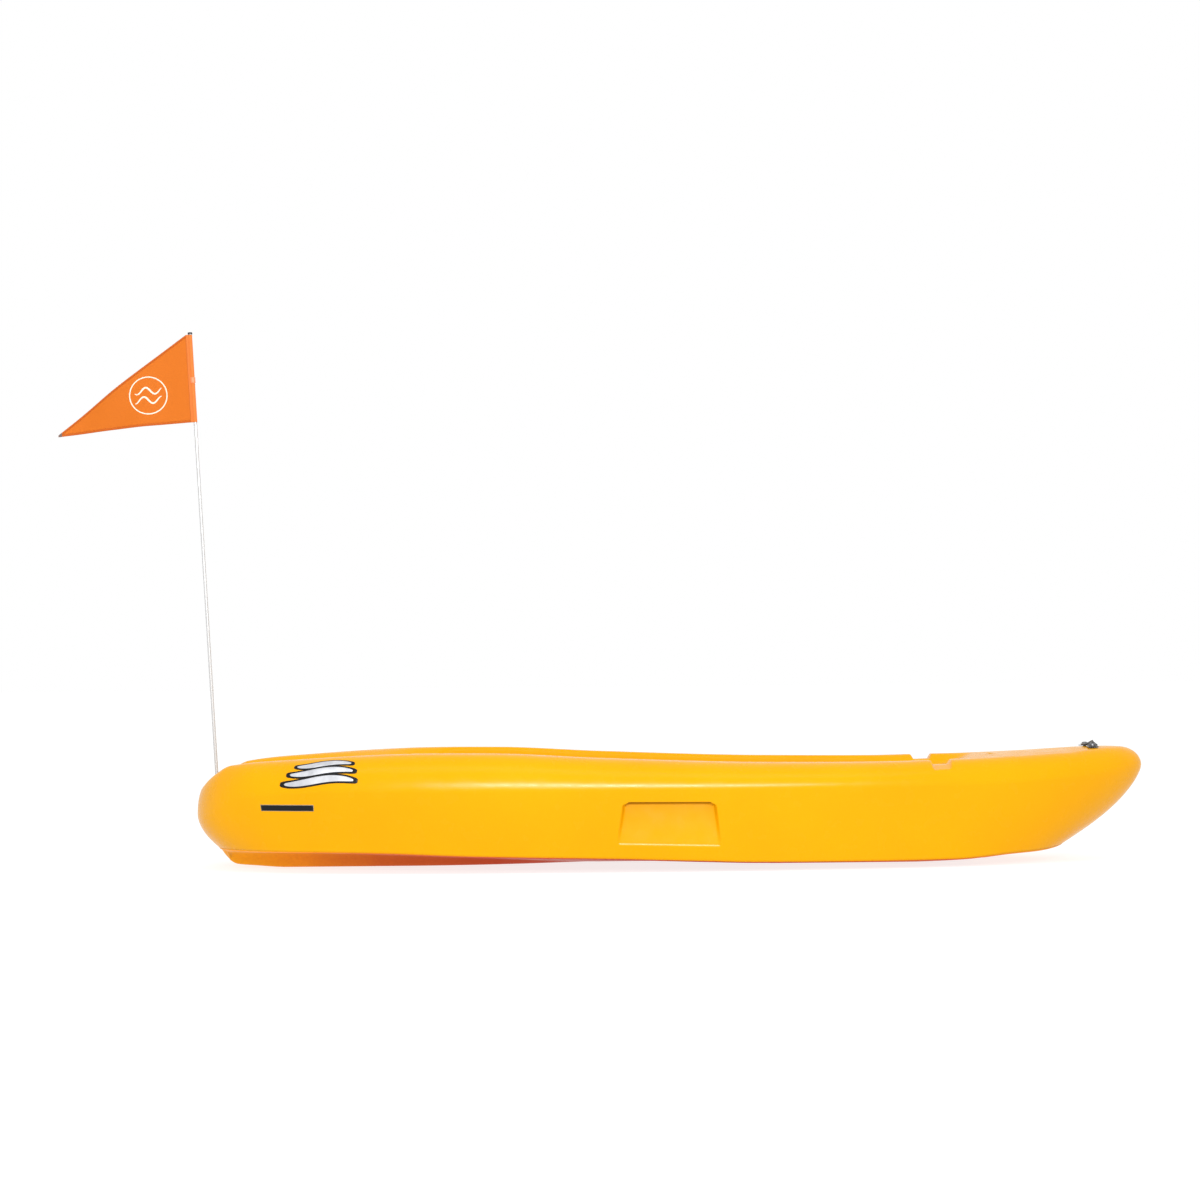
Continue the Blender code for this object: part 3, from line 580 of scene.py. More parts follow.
YELLOW = yellow_plastic()
HULL = hull_plastic()
BLACK = black_plastic()
RUBBER = rubber()
ROD = glass_fibre()
STEEL = metal("blackened_steel", (0.11, 0.11, 0.115), (0.19, 0.19, 0.20), 0.36)
BRASS = metal("brass", (0.55, 0.36, 0.14), (0.74, 0.52, 0.24), 0.34)
SILVER = silver_film()
INK = painted("black_film", (0.006, 0.006, 0.007), 0.45)
PLATE_EDGE = painted("plate_border", (0.30, 0.26, 0.20), 0.5)
FOAM = foam()
FLAG = woven("flag_fabric", (0.50, 0.114, 0.003), (0.57, 0.136, 0.005), 0.0008, 0.8, 0.03)
HEM_CLOTH = woven("flag_hem_fabric", (0.42, 0.080, 0.003), (0.50, 0.105, 0.004), 0.0008, 0.8, 0.03)
SLEEVE = woven("flag_sleeve_fabric", (0.62, 0.155, 0.025), (0.70, 0.19, 0.040), 0.0008, 0.8, 0.05)
WEBBING = woven("black_webbing", (0.006, 0.006, 0.007), (0.035, 0.035, 0.037), 0.0016, 0.8, 0.3)
THREAD = painted("flag_thread", (0.78, 0.20, 0.04), 0.7)
GREY_THREAD = painted("tip_thread", (0.16, 0.13, 0.12), 0.8)
CLIP = painted("clip_plastic", (0.84, 0.25, 0.11), 0.45)
PRINT = painted("cream_print", (0.88, 0.68, 0.56), 0.6)


# ---- the two mouldings ----

def outline_stations():
    """Places along the outline, close together where the grips, the steps and the rests are."""
    bow_tip, stern_tip = HALF_LENGTH - DECK_FAN[1], HALF_LENGTH + DECK_FAN[0]
    turn = np.linspace(0.0, math.pi / 2, 46)
    stern = DECK_FAN[0] - stern_tip * np.sin(turn[::-1])
    bow = DECK_FAN[1] + bow_tip * np.sin(turn)
    steps_end = STEP_START + STEP_COUNT * STEP_PITCH
    straight = run(DECK_FAN[0], (-0.48, 0.006), (-0.40, 0.003), (-0.112, 0.006), (-0.082, 0.0012),
                   (0.066, 0.005), (0.094, 0.0012), (STEP_START, 0.005), (steps_end, 0.003), (0.47, 0.004),
                   (0.54, 0.002), (DECK_FAN[1], 0.004))
    return np.concatenate([stern[:-1], straight, bow[1:]])


def make_hull():
    px = outline_stations()
    fractions = run(0.0, (0.12, 0.02), (0.24, 0.012), (0.50, 0.02), (0.90, 0.0125), (1.0, 0.02))
    deck = [deck_ring(px, f) for f in fractions]
    deck += [shoulder_ring(px, a) for a in np.linspace(90.0, 0.0, 25)[1:]]
    levels = run(1.0, (0.84, 0.02), (0.79, 0.004), (0.66, 0.013), (0.26, 0.03), (0.21, 0.01), (0.0, 0.03))
    side = [side_ring(px, f) for f in levels[1:]]
    bottom = [side[-1]] + [bottom_ring(px, c, 1.0) for c in (0.2, 0.4, 0.6, 0.8, 1.0)]
    bottom += [bottom_ring(px, 1.0, f) for f in (0.9, 0.8, 0.7, 0.62)]
    widths = run(FLAT_HALF, (KEEL_FOOT, 0.009), (KEEL_HALF, 0.0025), (0.006, 0.006))
    bottom += [bottom_ring(px, 1.0, 1.0, width) for width in widths] + [bottom_ring(px, 1.0, 0.0)]
    holes = [((centre.x, centre.y, PAD_Z), radius) for centre, radius in deck_holes()]
    shell = ring_sheet("deck_moulding", [all_round(r) for r in deck + side], holes, YELLOW)
    under = ring_sheet("bottom_moulding", [all_round(r) for r in bottom], [], HULL)
    for piece, node, slot in ((shell, "deck_shell", "deck_plastic"), (under, "hull_shell", "hull_plastic")):
        sheet = piece.modifiers.new("wall", "SOLIDIFY")
        sheet.thickness = WALL
        sheet.offset = -1.0
        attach(piece, "root")
        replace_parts(piece, node)


def middle(node):
    low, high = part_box(node)
    return (low + high) / 2


DRAIN_HOLE = 0.0148
SOCKET_HOLE = 0.0066


def deck_holes():
    socket = POLE_FRAME @ Vector((0.0, 0.0, PAD_Z - POLE_BASE.z))
    return [(middle("drain_housing"), DRAIN_HOLE), (socket, SOCKET_HOLE)]


# ---- flag ----

POLE_RADIUS = 0.00325
POLE_LEAN = math.radians(3.08)
POLE_BASE = Vector((-0.880, 0.0, 0.178))
POLE_FRAME = Matrix.Translation(POLE_BASE) @ Matrix.Rotation(-POLE_LEAN, 4, "Y")
POLE_BOTTOM = -0.1035
FLAG_TOP = 0.858
FLAG_HOIST = 0.171
FLAG_FLY = 0.267
FLAG_DROP = 0.1815
SLEEVE_RADIUS = 0.0037
SLEEVE_BAND = 0.0088
CLOTH = 0.0005
HEM = 0.0045
CAP_TOP = FLAG_TOP + 0.0045
CAP_RADIUS = 0.0045
CLIP_HALF = 0.0055
CLIP_DROP = 0.0035


def panel_edges(aft):
    """Heights along the pole of the panel's bottom and top edges, at a distance aft of it."""
    share = aft / FLAG_FLY
    bottom = FLAG_TOP - FLAG_HOIST + 0.0005 - (FLAG_DROP - FLAG_HOIST + 0.0025) * share
    bottom += 0.0026 * math.sin(math.pi * share)
    free = max(aft - SLEEVE_BAND, 0.0) / (FLAG_FLY - SLEEVE_BAND)
    top = FLAG_TOP - 0.0008 - (FLAG_DROP - 0.0018) * free + 0.0040 * math.sin(math.pi * free)
    return bottom, top


def billow(aft, z):
    """How far the panel stands to port."""
    down = FLAG_TOP - z
    free = float(smooth(aft, 0.008, 0.11))
    wave = 0.0048 * math.sin(30.0 * aft + 9.0 * down)
    ripple = 0.0015 * math.sin(75.0 * aft - 22.0 * down + 1.0)
    return free * (wave + ripple)


def panel_point(aft, z):
    return POLE_FRAME @ Vector((-aft, billow(aft, z), z))


def panel_frame(aft, z, side):
    """A point of the panel, with the outward normal of its starboard or port face."""
    here = panel_point(aft, z)
    back = panel_point(aft + 0.001, z) - here
    up = panel_point(aft, z + 0.001) - here
    normal = back.cross(up).normalized()
    return here, normal if normal.y * side > 0.0 else -normal


def grid_object(name, rows, material, uvs, thickness=None, offset=0.0):
    """A sheet from rows of points, with a UV map in metres."""
    count = len(rows[0])
    points = [p for row in rows for p in row]
    faces = [(r * count + c, r * count + c + 1, (r + 1) * count + c + 1, (r + 1) * count + c)
             for r in range(len(rows) - 1) for c in range(count - 1)]
    data = bpy.data.meshes.new(name)
    data.from_pydata([tuple(p) for p in points], [], faces)
    layer = data.uv_layers.new(name="UVMap")
    flat = [uv for row in uvs for uv in row]
    for loop in data.loops:
        layer.data[loop.index].uv = flat[loop.vertex_index]
    item = object_from(name, data, material)
    if thickness:
        solid = item.modifiers.new("thickness", "SOLIDIFY")
        solid.thickness = thickness
        solid.offset = offset
    return item


def rides_flag(item):
    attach(item, "flag")
    return item


def make_flag_cloth():
    rows, uvs = [], []
    afts = [0.0038 + (FLAG_FLY - 0.0038) * i / 119 for i in range(120)]
    for share in np.linspace(0.0, 1.0, 60):
        heights = [bottom + (top - bottom) * share for bottom, top in map(panel_edges, afts)]
        rows.append([panel_point(aft, z) for aft, z in zip(afts, heights)])
        uvs.append([(-aft, z) for aft, z in zip(afts, heights)])
    cloth = rides_flag(grid_object("flag_panel", rows, FLAG, uvs, CLOTH))
    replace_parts(cloth, "flag_cloth")
    return cloth


def make_hem(name, edge, inward):
    """The panel's edge turned over and sewn down: a thin sheath round it."""
    section = [(HEM, 1), (0.0005, 1), (-0.0002, 0), (0.0005, -1), (HEM, -1)]
    rows, uvs = [], []
    for aft in np.linspace(0.004, FLAG_FLY - 0.0045, 130):
        z = panel_edges(aft)[edge]
        row = []
        for depth, side in section:
            here, normal = panel_frame(aft, z + inward * depth, side or 1)
            row.append(here + normal * (0.0005 if side else 0.0))
        rows.append(row)
        uvs.append([(-aft, z + inward * depth * (side or 0.1)) for depth, side in section])
    return rides_flag(grid_object(name, rows, HEM_CLOTH, uvs, 0.0003))


def make_sleeve():
    """The hoist folded round the pole and sewn flat to the panel."""
    bend = [math.radians(-150.0 + 300.0 * i / 28) for i in range(29)]
    section = [(SLEEVE_RADIUS * math.cos(a), SLEEVE_RADIUS * math.sin(a)) for a in bend]
    tail = [(-0.0048, 0.0013), (-0.0060, 0.0008), (-SLEEVE_BAND, 0.0007)]
    section = [(x, -y) for x, y in reversed(tail)] + section + tail
    rows, uvs = [], []
    for i in range(90):
        share = i / 89
        row, uv = [], []
        for j, (x, y) in enumerate(section):
            slant = 0.0010 * (x + SLEEVE_BAND) / (SLEEVE_RADIUS + SLEEVE_BAND)
            z = FLAG_TOP - FLAG_HOIST * share - slant * (1.0 - share)
            pucker = 1.0 + 0.035 * math.sin(520.0 * z + 2.0 * j) * float(smooth(-x, 0.001, 0.005))
            row.append(POLE_FRAME @ Vector((x, y * pucker, z)))
            uv.append((j * 0.0011, z))
        rows.append(row)
        uvs.append(uv)
    return rides_flag(grid_object("flag_sleeve", rows, SLEEVE, uvs, 0.0004))


def ribbon(name, path, half_width, height, material, closed=False):
    """A low raised line along (point, normal) pairs; half_width takes the share of its length."""
    count = len(path)
    mesh = bmesh.new()
    rows = []
    for i, (point, normal) in enumerate(path):
        before = path[i - 1 if closed or i else 0][0]
        after = path[(i + 1) % count if closed else min(i + 1, count - 1)][0]
        across = (after - before).cross(normal).normalized() * half_width(i / (count - 1))
        rows.append([mesh.verts.new(point + across * s + normal * h)
                     for s, h in ((-1.0, 0.0), (1.0, 0.0), (0.8, height), (-0.8, height))])
    pairs = list(zip(rows, rows[1:]))
    if closed:
        pairs.append((rows[-1], rows[0]))
    else:
        mesh.faces.new(rows[0])
        mesh.faces.new(rows[-1])
    for near, far in pairs:
        for i in range(4):
            mesh.faces.new((near[i], far[i], far[(i + 1) % 4], near[(i + 1) % 4]))
    return object_from_bmesh(name, mesh, material, 60.0)


def swell(thin, thick, power=0.45):
    """The half width of a stroke by the share of its length: thin at the ends, thick in the middle."""
    return lambda t: thin + thick * math.sin(math.pi * t) ** power


def make_emblem():
    """A ring round two rolling waves: plain, and nobody's mark."""
    centre_aft, centre_z, radius = 0.088, FLAG_TOP - 0.1135, 0.036

    def on_face(points, side):
        frames = [panel_frame(centre_aft + a, centre_z + b, side) for a, b in points]
        return [(here + normal * (CLOTH / 2 + 0.00005), normal) for here, normal in frames]

    turn = np.linspace(0.0, 2.0 * math.pi, 97)[:-1]
    ring = [(radius * math.cos(a), radius * math.sin(a)) for a in turn]
    for side, word in SIDES:
        rides_flag(ribbon(f"flag_ring_{word}", on_face(ring, side), lambda t: 0.0011, 0.00015, PRINT, True))
        for row in range(2):
            reach = 0.026
            wave = [(x, -0.009 + 0.018 * row + 0.0065 * math.sin(math.pi * x / reach * 1.5 + 0.8 * row))
                    for x in np.linspace(-reach, reach, 56)]
            rides_flag(ribbon(f"flag_wave_{row}_{word}", on_face(wave, side), swell(0.0004, 0.0013, 0.5),
                              0.00015, PRINT))


def sew(mesh, frames, width=0.00026):
    """Short raised threads between pairs of (point, normal) frames."""
    for (a, normal), (b, _) in zip(frames[::2], frames[1::2]):
        across = (b - a).cross(normal).normalized() * width
        ring = [mesh.verts.new(p) for p in (a, (a + b) / 2 + across, b, (a + b) / 2 - across)]
        top = mesh.verts.new((a + b) / 2 + normal * 0.0004)
        for i in range(4):
            mesh.faces.new((ring[i], ring[(i + 1) % 4], top))
        mesh.faces.new(ring[::-1])


def make_stitching():
    mesh = bmesh.new()
    for side in (-1, 1):
        for edge, inward in ((0, 1), (1, -1)):
            frames = []
            for aft in np.linspace(0.012, FLAG_FLY - 0.012, 190):
                here, normal = panel_frame(aft, panel_edges(aft)[edge] + inward * (HEM - 0.001), side)
                frames.append((here + normal * 0.0006, normal))
            sew(mesh, frames)
        normal = Vector((0.0, float(side), 0.0))
        for band in (SLEEVE_BAND - 0.0009, SLEEVE_BAND - 0.0024):
            heights = FLAG_TOP - np.linspace(0.004, FLAG_HOIST - 0.004, 120)
            sew(mesh, [(POLE_FRAME @ Vector((-band, side * 0.0009, z)), normal) for z in heights])
    return rides_flag(object_from_bmesh("flag_stitching", mesh, THREAD, None))


def make_tip_tack():
    """A close row of grey threads that binds the tip."""
    for index in range(6):
        aft = FLAG_FLY - 0.0062 + 0.0011 * index
        bottom, top = panel_edges(min(aft, FLAG_FLY))
        climb = np.linspace(bottom - 0.0004, top + 0.0004, 8)
        loop = []
        for side, heights in ((-1, climb), (1, climb[::-1])):
            for z in heights:
                here, normal = panel_frame(aft, float(z), side)
                loop.append((here + normal * 0.0007, normal))
        rides_flag(ribbon(f"flag_tip_thread_{index}", loop, lambda t: 0.00045, 0.0003, GREY_THREAD, True))


def make_clip():
    inner = SLEEVE_RADIUS + 0.0003
    middle_z = FLAG_TOP - FLAG_HOIST / 2 - CLIP_DROP
    rows, uvs = [], []
    for z in np.linspace(-CLIP_HALF, CLIP_HALF, 12):
        angles = [math.pi + math.radians(25.0 + 310.0 * i / 48) for i in range(49)]
        rows.append([POLE_FRAME @ Vector((inner * math.cos(a), inner * math.sin(a), middle_z + z))
                     for a in angles])
        uvs.append([(a * inner, z) for a in angles])
    collar = grid_object("flag_clip_collar", rows, CLIP, uvs, 0.0010, 1.0)
    soft = collar.modifiers.new("edge", "BEVEL")
    soft.width = 0.0003
    soft.segments = 2
    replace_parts(rides_flag(collar), "flag_clip")


def make_pole():
    rod_top = CAP_TOP - 0.0012
    end = 0.0006
    rod_profile = [(0.0, POLE_BOTTOM), (POLE_RADIUS - end, POLE_BOTTOM), (POLE_RADIUS, POLE_BOTTOM + end),
                   (POLE_RADIUS, rod_top), (0.0, rod_top)]
    pole = turned("pole_rod", rod_profile, ROD, 40, POLE_FRAME)
    rim, bore = FLAG_TOP + 0.0002, POLE_RADIUS + 0.0003
    cap_profile = [(0.0, CAP_TOP), (CAP_RADIUS - 0.0012, CAP_TOP - 0.0001),
                   (CAP_RADIUS - 0.0004, CAP_TOP - 0.0004), (CAP_RADIUS, CAP_TOP - 0.0012),
                   (CAP_RADIUS, rim + 0.0003), (CAP_RADIUS - 0.0003, rim), (bore, rim),
                   (bore, CAP_TOP - 0.0009), (0.0, CAP_TOP - 0.0009)]
    cap = turned("pole_cap", cap_profile, BLACK, 40, POLE_FRAME)
    for piece, node, slot in ((pole, "flag_pole", "pole"), (cap, "flag_pole_cap", "black_plastic")):
        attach(piece, "pole")
        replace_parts(piece, node)


def make_flag():
    cloth = make_flag_cloth()
    trim = [make_sleeve(), make_hem("flag_hem_bottom", 0, 1), make_hem("flag_hem_top", 1, -1)]
    trim.append(make_stitching())
    make_emblem()
    make_tip_tack()
    make_clip()
    make_pole()


# ---- bow carry strap ----

ANCHOR_X = 0.8125
STRAP_HALF = 0.010
STRAP_THICK = 0.0014


def strap_route(deck, grip, peak, slump):
    """x from the anchors, distance from the centreline, height, half width, thickness, fold in degrees."""
    hump = peak - 0.0004 - slump
    neck = peak - 0.0018 - 0.8 * slump
    unfold = 6000.0 * slump
    return [(0.0, 0.0655, deck + 0.0012, STRAP_HALF, STRAP_THICK, 0.0),
            (0.0, 0.0500, deck + 0.0013, STRAP_HALF, STRAP_THICK, 0.0),
            (0.0008, 0.0415, deck + 0.0024, STRAP_HALF, STRAP_THICK, 3.0),
            (0.0024 - 0.4 * slump, 0.0355, peak - 0.0040 - 0.3 * slump, STRAP_HALF, STRAP_THICK, 30.0),
            (0.0036 - 0.9 * slump, 0.0290, hump, STRAP_HALF, STRAP_THICK, 54.0 - unfold),
            (0.0012 - 0.9 * slump, 0.0228, neck, 0.0080, STRAP_THICK, 52.0 - unfold),
            (-0.0034, 0.0165, grip + 0.0024, 0.0060, 0.0018, 34.0 - unfold * 2.0 / 3.0),
            (-0.0064, 0.0095, grip + 0.0004, 0.0048, 0.0026, 8.0),
            (-0.0074, 0.0, grip, 0.0044, 0.0028, 0.0)]


def make_strap():
    """Black webbing: flat under each screw, folded over a hump beside it, and gathered in the grip."""
    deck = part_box("handle_tab_starboard")[0].z
    grip_low, grip_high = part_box("handle_loop")
    for side, word, slump in ((-1, "starboard", 0.0), (1, "port", 0.0044)):
        route = strap_route(deck, grip_low.z + 0.0024, grip_high.z - 0.0004, slump)
        strip = strap_half(f"strap_{word}", refined(np.array(route), 8), side)
        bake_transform(strip)
        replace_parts(strip, "handle_tab_" + word, "handle_loop")


def refined(points, parts):
    """Catmull-Rom points through each of the given ones."""
    padded = np.concatenate([points[:1], points, points[-1:]])
    made = []
    for i in range(len(points) - 1):
        a, b, c, d = padded[i:i + 4]
        for t in np.arange(parts) / parts:
            bend = (2 * a - 5 * b + 4 * c - d) * t * t + (3 * b - a - 3 * c + d) * t ** 3
            made.append(0.5 * (2 * b + (c - a) * t + bend))
    made.append(points[-1])
    return np.array(made)


def strap_half(name, route, side):
    """Webbing along half of the strap: a rounded band, folded down on both sides of its middle."""
    centres = [Vector((ANCHOR_X + x, side * y, z)) for x, y, z, _, _, _ in route]
    mesh = bmesh.new()
    layer = mesh.loops.layers.uv.new("UVMap")
    rows, travel = [], 0.0
    section = [(-1, -0.5), (-0.94, -1), (-0.5, -1), (0, -1), (0.5, -1), (0.94, -1), (1, -0.5),
               (1, 0.5), (0.94, 1), (0.5, 1), (0, 1), (-0.5, 1), (-0.94, 1), (-1, 0.5)]
    for i, centre in enumerate(centres):
        before, after = centres[max(i - 1, 0)], centres[min(i + 1, len(centres) - 1)]
        along = (after - before).normalized()
        across = Vector((0.0, 0.0, 1.0)).cross(along).normalized()
        up = along.cross(across)
        width, thick = route[i][3], route[i][4]
        fold = math.radians(max(route[i][5], 0.0))
        rise = thick / 2 / math.cos(fold)
        travel += (centre - before).length if i else 0.0
        row = []
        for u, v in section:
            place = centre + across * (u * width * math.cos(fold))
            place += up * (v * rise - abs(u) * width * math.sin(fold))
            row.append((mesh.verts.new(place), (u * width, travel)))
        rows.append(row)
    for near, far in zip(rows, rows[1:]):
        for k in range(len(section)):
            m = (k + 1) % len(section)
            corners = (near[k], far[k], far[m], near[m])
            face = mesh.faces.new([c[0] for c in corners])
            for loop, corner in zip(face.loops, corners):
                loop[layer].uv = corner[1]
    mesh.faces.new([c[0] for c in rows[0]])
    mesh.faces.new([c[0] for c in rows[-1]])
    return object_from_bmesh(name, mesh, WEBBING, 50.0)


WASHER_BORE = 0.0033
WASHER_RADIUS = 0.0080
SHANK_RADIUS = 0.0029
HEAD_RADIUS = 0.0058


def make_fasteners():
    for word in ("starboard", "port"):
        centre = middle("handle_washer_" + word)
        low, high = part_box("handle_washer_" + word)
        place = Matrix.Translation((centre.x, centre.y, low.z))
        thick = high.z - low.z
        profile = [(WASHER_BORE, 0.0), (WASHER_RADIUS - 0.0002, 0.0), (WASHER_RADIUS, 0.0002),
                   (WASHER_RADIUS, thick - 0.0004), (WASHER_RADIUS - 0.0004, thick), (WASHER_BORE, thick)]
        washer = turned("washer_" + word, profile, STEEL, 48, place)
        screw_low, screw_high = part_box("handle_screw_" + word)
        end = screw_low.z - high.z
        rise = screw_high.z - high.z
        place = Matrix.Translation((centre.x, centre.y, high.z))
        profile = [(0.0, end), (SHANK_RADIUS, end), (SHANK_RADIUS, 0.0003), (HEAD_RADIUS - 0.0002, 0.0003),
                   (HEAD_RADIUS, 0.0007), (HEAD_RADIUS - 0.0002, rise * 0.55),
                   (HEAD_RADIUS - 0.0012, rise * 0.85), (HEAD_RADIUS - 0.0032, rise), (0.0, rise)]
        screw = turned("screw_" + word, profile, STEEL, 48, place)
        cut_cross(screw, place @ Matrix.Translation((0.0, 0.0, rise)))
        for piece, node in ((washer, "handle_washer_"), (screw, "handle_screw_")):
            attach(piece, "root")
            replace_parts(piece, node + word)


def cut_cross(screw, place):
    """The cross recess in a screw's head."""
    mesh = bmesh.new()
    for turn in (0.0, math.pi / 2):
        size = Matrix.Diagonal((0.0048, 0.0010, 0.0036, 1.0))
        bmesh.ops.create_cube(mesh, size=1.0, matrix=place @ Matrix.Rotation(turn + 0.5, 4, "Z") @ size)
    tool = object_from_bmesh("recess", mesh, STEEL)
    modifier = screw.modifiers.new("recess", "BOOLEAN")
    modifier.operation = "DIFFERENCE"
    modifier.use_self = True
    modifier.object = tool
    apply_modifiers(screw)
    bpy.data.objects.remove(tool)


def apply_modifiers(item):
    graph = bpy.context.evaluated_depsgraph_get()
    data = bpy.data.meshes.new_from_object(item.evaluated_get(graph))
    item.modifiers.clear()
    item.data = data


# ---- graphics ----

def skin_point(kind, x, level, side, lift):
    """A point that stands lift off the hull, where kind gives the hull's ring at one level."""
    step = 0.5 if kind is shoulder_ring else 0.004
    mirror = np.array([1.0, -side, 1.0])
    here = kind(np.array([x]), level)[0]
    ahead = (kind(np.array([x + 0.002]), level)[0] - here) * mirror
    up = (kind(np.array([x]), level + step)[0] - here) * mirror
    normal = Vector(ahead).cross(Vector(up)).normalized()
    if normal.y * side < 0.0:
        normal = -normal
    return Vector(here * mirror) + normal * lift


DEGREES_PER_METRE = 1100.0       # the shoulder's turn along its ring, near the graphic
FILM = 0.0003


def stroke(name, line, half_width, lift, side, material):
    """A film stroke that follows the shoulder, along (x, angle) points."""
    rows, uvs = [], []
    count = len(line)
    for i, (x, angle) in enumerate(line):
        before, after = line[max(i - 1, 0)], line[min(i + 1, count - 1)]
        along = Vector((after[0] - before[0], (after[1] - before[1]) / DEGREES_PER_METRE)).normalized()
        width = half_width(i / (count - 1))
        row = []
        for s in np.linspace(-1.0, 1.0, 9):
            turn = angle + along.x * width * s * DEGREES_PER_METRE
            row.append(skin_point(shoulder_ring, x - along.y * width * s, turn, side, lift))
        rows.append(row)
        uvs.append([(x, s * width) for s in np.linspace(-1.0, 1.0, 9)])
    piece = grid_object(name, rows, material, uvs, FILM)
    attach(piece, "root")
    return piece


def make_graphics():
    """Three swept silver strokes that share a dark outline: plain, and nobody's mark."""
    low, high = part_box("graphic_starboard")
    middle_x, reach = (low.x + high.x) / 2, (high.x - low.x) / 2 - 0.003
    for side, word in SIDES:
        for row in range(3):
            half = reach * (1.0, 0.92, 0.80)[row]
            shift = 0.004 * row
            line = [(middle_x + shift + half * t, 19.5 + 17.5 * row + 5.0 * math.sin(2.6 * t + 0.5) - 2.0 * t)
                    for t in np.linspace(-1.0, 1.0, 56)]
            outer = stroke(f"graphic_edge_{row}_{word}", line, swell(0.0025, 0.0062),
                           0.0003 + 0.00002 * row, side, INK)
            stroke(f"graphic_stroke_{row}_{word}", line[3:-3], swell(0.0006, 0.0052), 0.0007, side, SILVER)
            if row == 0:
                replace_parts(outer, "graphic_" + word)


def make_serial_plate():
    """A black plate with a thin pale border, level on the side."""
    low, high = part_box("serial_plate")
    layers = (("serial_plate_edge", 0.0, 0.0003, PLATE_EDGE), ("serial_plate_face", 0.0009, 0.0005, INK))
    for name, margin, lift, material in layers:
        xs = np.linspace(low.x + margin, high.x - margin, 24)
        rows = [[skin_point(side_at, x, z, -1, lift) for x in xs]
                for z in np.linspace(low.z + margin, high.z - margin, 8)]
        uvs = [[(x, row * 0.0015) for x in xs] for row in range(8)]
        plate = grid_object(name, rows, material, uvs, FILM)
        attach(plate, "root")
        if margin:
            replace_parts(plate, "serial_plate")


# ---- drain and socket ----

DRAIN_BORE = 0.0108
DRAIN_BARREL = 0.0145
DRAIN_DEPTH = 0.0145
FLANGE_RADIUS = 0.0190
FLANGE_TOP = 0.0023
SEAL_MIDDLE = 0.0126
SEAL_HALF = 0.0014
THREAD_RADIUS = 0.0104
THREAD_CUT = 0.0007
THREAD_STEP = 0.0011
PLUG_RADIUS = 0.0155
BAR_SIZE = (0.025, 0.0046)


def collar_profile():
    return [(DRAIN_BORE, -DRAIN_DEPTH), (DRAIN_BARREL, -DRAIN_DEPTH), (DRAIN_BARREL, 0.0003),
            (FLANGE_RADIUS - 0.0004, 0.0003), (FLANGE_RADIUS, 0.0007), (FLANGE_RADIUS - 0.0002, 0.0015),
            (FLANGE_RADIUS - 0.0010, 0.0022), (FLANGE_RADIUS - 0.0040, FLANGE_TOP), (DRAIN_BORE, FLANGE_TOP)]


def seal_profile(low, high):
    middle_z, half = (low + high) / 2, (high - low) / 2
    return [(SEAL_MIDDLE + SEAL_HALF * math.cos(a), middle_z + half * math.sin(a))
            for a in np.linspace(0.0, 2.0 * math.pi, 16, endpoint=False)]


def plug_profile(end, head):
    """The plug from its lower end up, with the ridges of its thread and a rounded head."""
    ridges = int((head - end - 0.003) / THREAD_STEP)
    thread = [(THREAD_RADIUS - THREAD_CUT * (i % 2), end + 0.002 + THREAD_STEP * i) for i in range(ridges)]
    cap = [(THREAD_RADIUS, head), (PLUG_RADIUS - 0.0004, head), (PLUG_RADIUS, head + 0.0005),
           (PLUG_RADIUS, head + 0.0030), (PLUG_RADIUS - 0.0005, head + 0.0038),
           (PLUG_RADIUS - 0.0017, head + 0.0044), (0.0, head + 0.0046)]
    return [(0.0, end), (0.0088, end), (THREAD_RADIUS - THREAD_CUT, end + 0.001)] + thread + cap


def make_drain():
    centre = middle("drain_housing")
    base = Matrix.Translation((centre.x, centre.y, PAD_Z))
    low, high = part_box("drain_seal")
    plug_low, plug_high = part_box("drain_plug")
    head = high.z - PAD_Z + 0.0003
    collar = turned("drain_collar", collar_profile(), BLACK, 64, base)
    seal = turned("drain_washer_ring", seal_profile(low.z - PAD_Z, high.z - PAD_Z), RUBBER, 64, base)
    plug = turned("drain_plug_body", plug_profile(plug_low.z - PAD_Z, head), BLACK, 64, base)
    bar = grip_bar(base, head + 0.0035, plug_high.z - PAD_Z)
    for piece, body, node, slot in ((collar, "root", "drain_housing", "black_plastic"),
                                    (seal, "drain_washer", "drain_seal", "seal_rubber"),
                                    (plug, "plug", "drain_plug", "black_plastic"),
                                    (bar, "plug", None, "black_plastic")):
        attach(piece, body)
        if node:
            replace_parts(piece, node)


def grip_bar(base, low, high):
    mesh = bmesh.new()
    size = Matrix.Diagonal((*BAR_SIZE, high - low, 1.0))
    place = base @ Matrix.Translation((0.0, 0.0, (low + high) / 2))
    bmesh.ops.create_cube(mesh, size=1.0, matrix=place @ size)
    bmesh.ops.bevel(mesh, geom=list(mesh.edges), offset=0.0012, segments=4, affect="EDGES")
    return object_from_bmesh("drain_plug_grip", mesh, BLACK, 35.0)


def make_socket():
    """The cup in the deck that the pole stands in, with a flared collar."""
    seat = PAD_Z - POLE_BASE.z
    bore = POLE_RADIUS + 0.0003
    floor = POLE_BOTTOM - 0.0003
    flare = [(0.0062, 0.0), (0.0112, 0.0001), (0.0115, 0.0005), (0.0112, 0.0016), (0.0095, 0.0024),
             (0.0078, 0.0034), (0.0071, 0.0050), (0.0069, 0.0092), (0.0064, 0.0099), (bore, 0.0100)]
    profile = [(0.0, floor - 0.004), (flare[0][0], floor - 0.004)]
    profile += [(radius, seat + rise) for radius, rise in flare]
    profile += [(bore, floor), (0.0, floor)]
    socket = turned("pole_socket", profile, BLACK, 56, POLE_FRAME)
    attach(socket, "root")
    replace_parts(socket, "flag_socket")


# ---- the rest of the carried CAD nodes ----

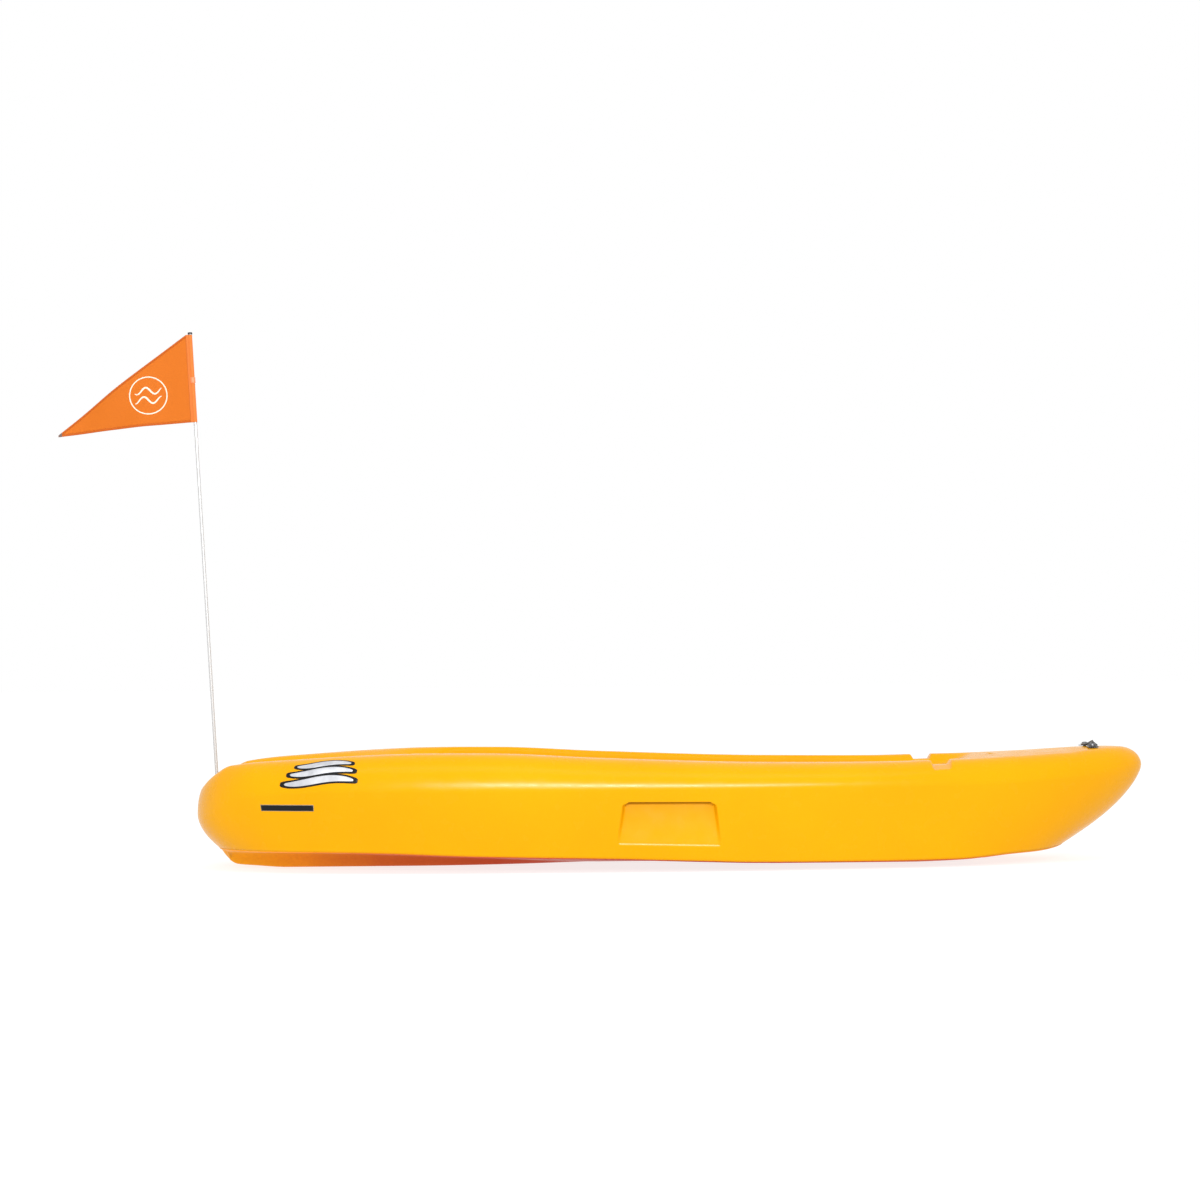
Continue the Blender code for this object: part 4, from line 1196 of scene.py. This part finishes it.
def dress_hidden_nodes():
    for name in ("foam_bow", "foam_stern"):
        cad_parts[name].data.materials[0] = FOAM
    for name in ("handle_insert_starboard", "handle_insert_port"):
        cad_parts[name].data.materials[0] = BRASS


# ---- stage, light and camera ----

def make_stage():
    """A lit acrylic table, white in every direction."""
    material, tree = new_material("studio_white", (0.5, 0.5, 0.5), 0.9)
    tree.mottle(1.5, (0.26, 0.26, 0.26), (0.28, 0.28, 0.28))
    tree.shader.inputs["Specular IOR Level"].default_value = 0.0
    tree.shader.inputs["Emission Color"].default_value = (1.0, 1.0, 1.0, 1.0)
    tree.shader.inputs["Emission Strength"].default_value = 0.80
    mesh = bmesh.new()
    bmesh.ops.create_grid(mesh, x_segments=2, y_segments=2, size=40.0)
    object_from_bmesh("studio_floor", mesh, material)


def area_light(name, place, aim, size, power):
    lamp = bpy.data.lights.new(name, "AREA")
    lamp.shape = "RECTANGLE"
    lamp.size, lamp.size_y = size
    lamp.energy = power
    item = bpy.data.objects.new(name, lamp)
    bpy.context.scene.collection.objects.link(item)
    item.location = place
    item.rotation_euler = (Vector(aim) - Vector(place)).to_track_quat("-Z", "Y").to_euler()
    return item


def make_light():
    """A white room, a soft key overhead, and two strips that draw the highlight along the side."""
    world = bpy.data.worlds.new("studio")
    bpy.context.scene.world = world
    world.use_nodes = True
    back = world.node_tree.nodes["Background"]
    back.inputs["Color"].default_value = (1.0, 1.0, 1.0, 1.0)
    back.inputs["Strength"].default_value = 1.0
    area_light("key", (0.0, -1.7, 3.6), (0.0, 0.0, 0.15), (4.0, 1.2), 42.0)
    area_light("strip", (0.0, -4.8, 1.35), (-0.1, 0.0, 0.15), (1.5, 0.10), 125.0)
    sheen = area_light("sheen", (0.4, -4.8, 1.35), (-0.1, 0.0, 0.15), (2.4, 0.30), 480.0)
    sheen.visible_diffuse = False


CAMERA_PLACE = (-0.1331, -6.1, 0.3925)
CAMERA_PITCH = math.radians(91.11)
CAMERA_ROLL = math.radians(-0.54)
CAMERA_LENS = 94.2


def make_camera():
    camera = bpy.data.cameras.new("camera")
    item = bpy.data.objects.new("camera", camera)
    bpy.context.scene.collection.objects.link(item)
    item.location = CAMERA_PLACE
    camera.lens = CAMERA_LENS
    camera.sensor_width = 36.0
    turn = Matrix.Rotation(CAMERA_PITCH, 3, "X") @ Matrix.Rotation(CAMERA_ROLL, 3, "Z")
    item.rotation_euler = turn.to_euler()
    bpy.context.scene.camera = item
    bpy.context.scene.view_settings.view_transform = "Standard"


make_camera()
make_light()
make_stage()
make_hull()
make_flag()
make_strap()
make_fasteners()
make_graphics()
make_serial_plate()
make_drain()
make_socket()
dress_hidden_nodes()
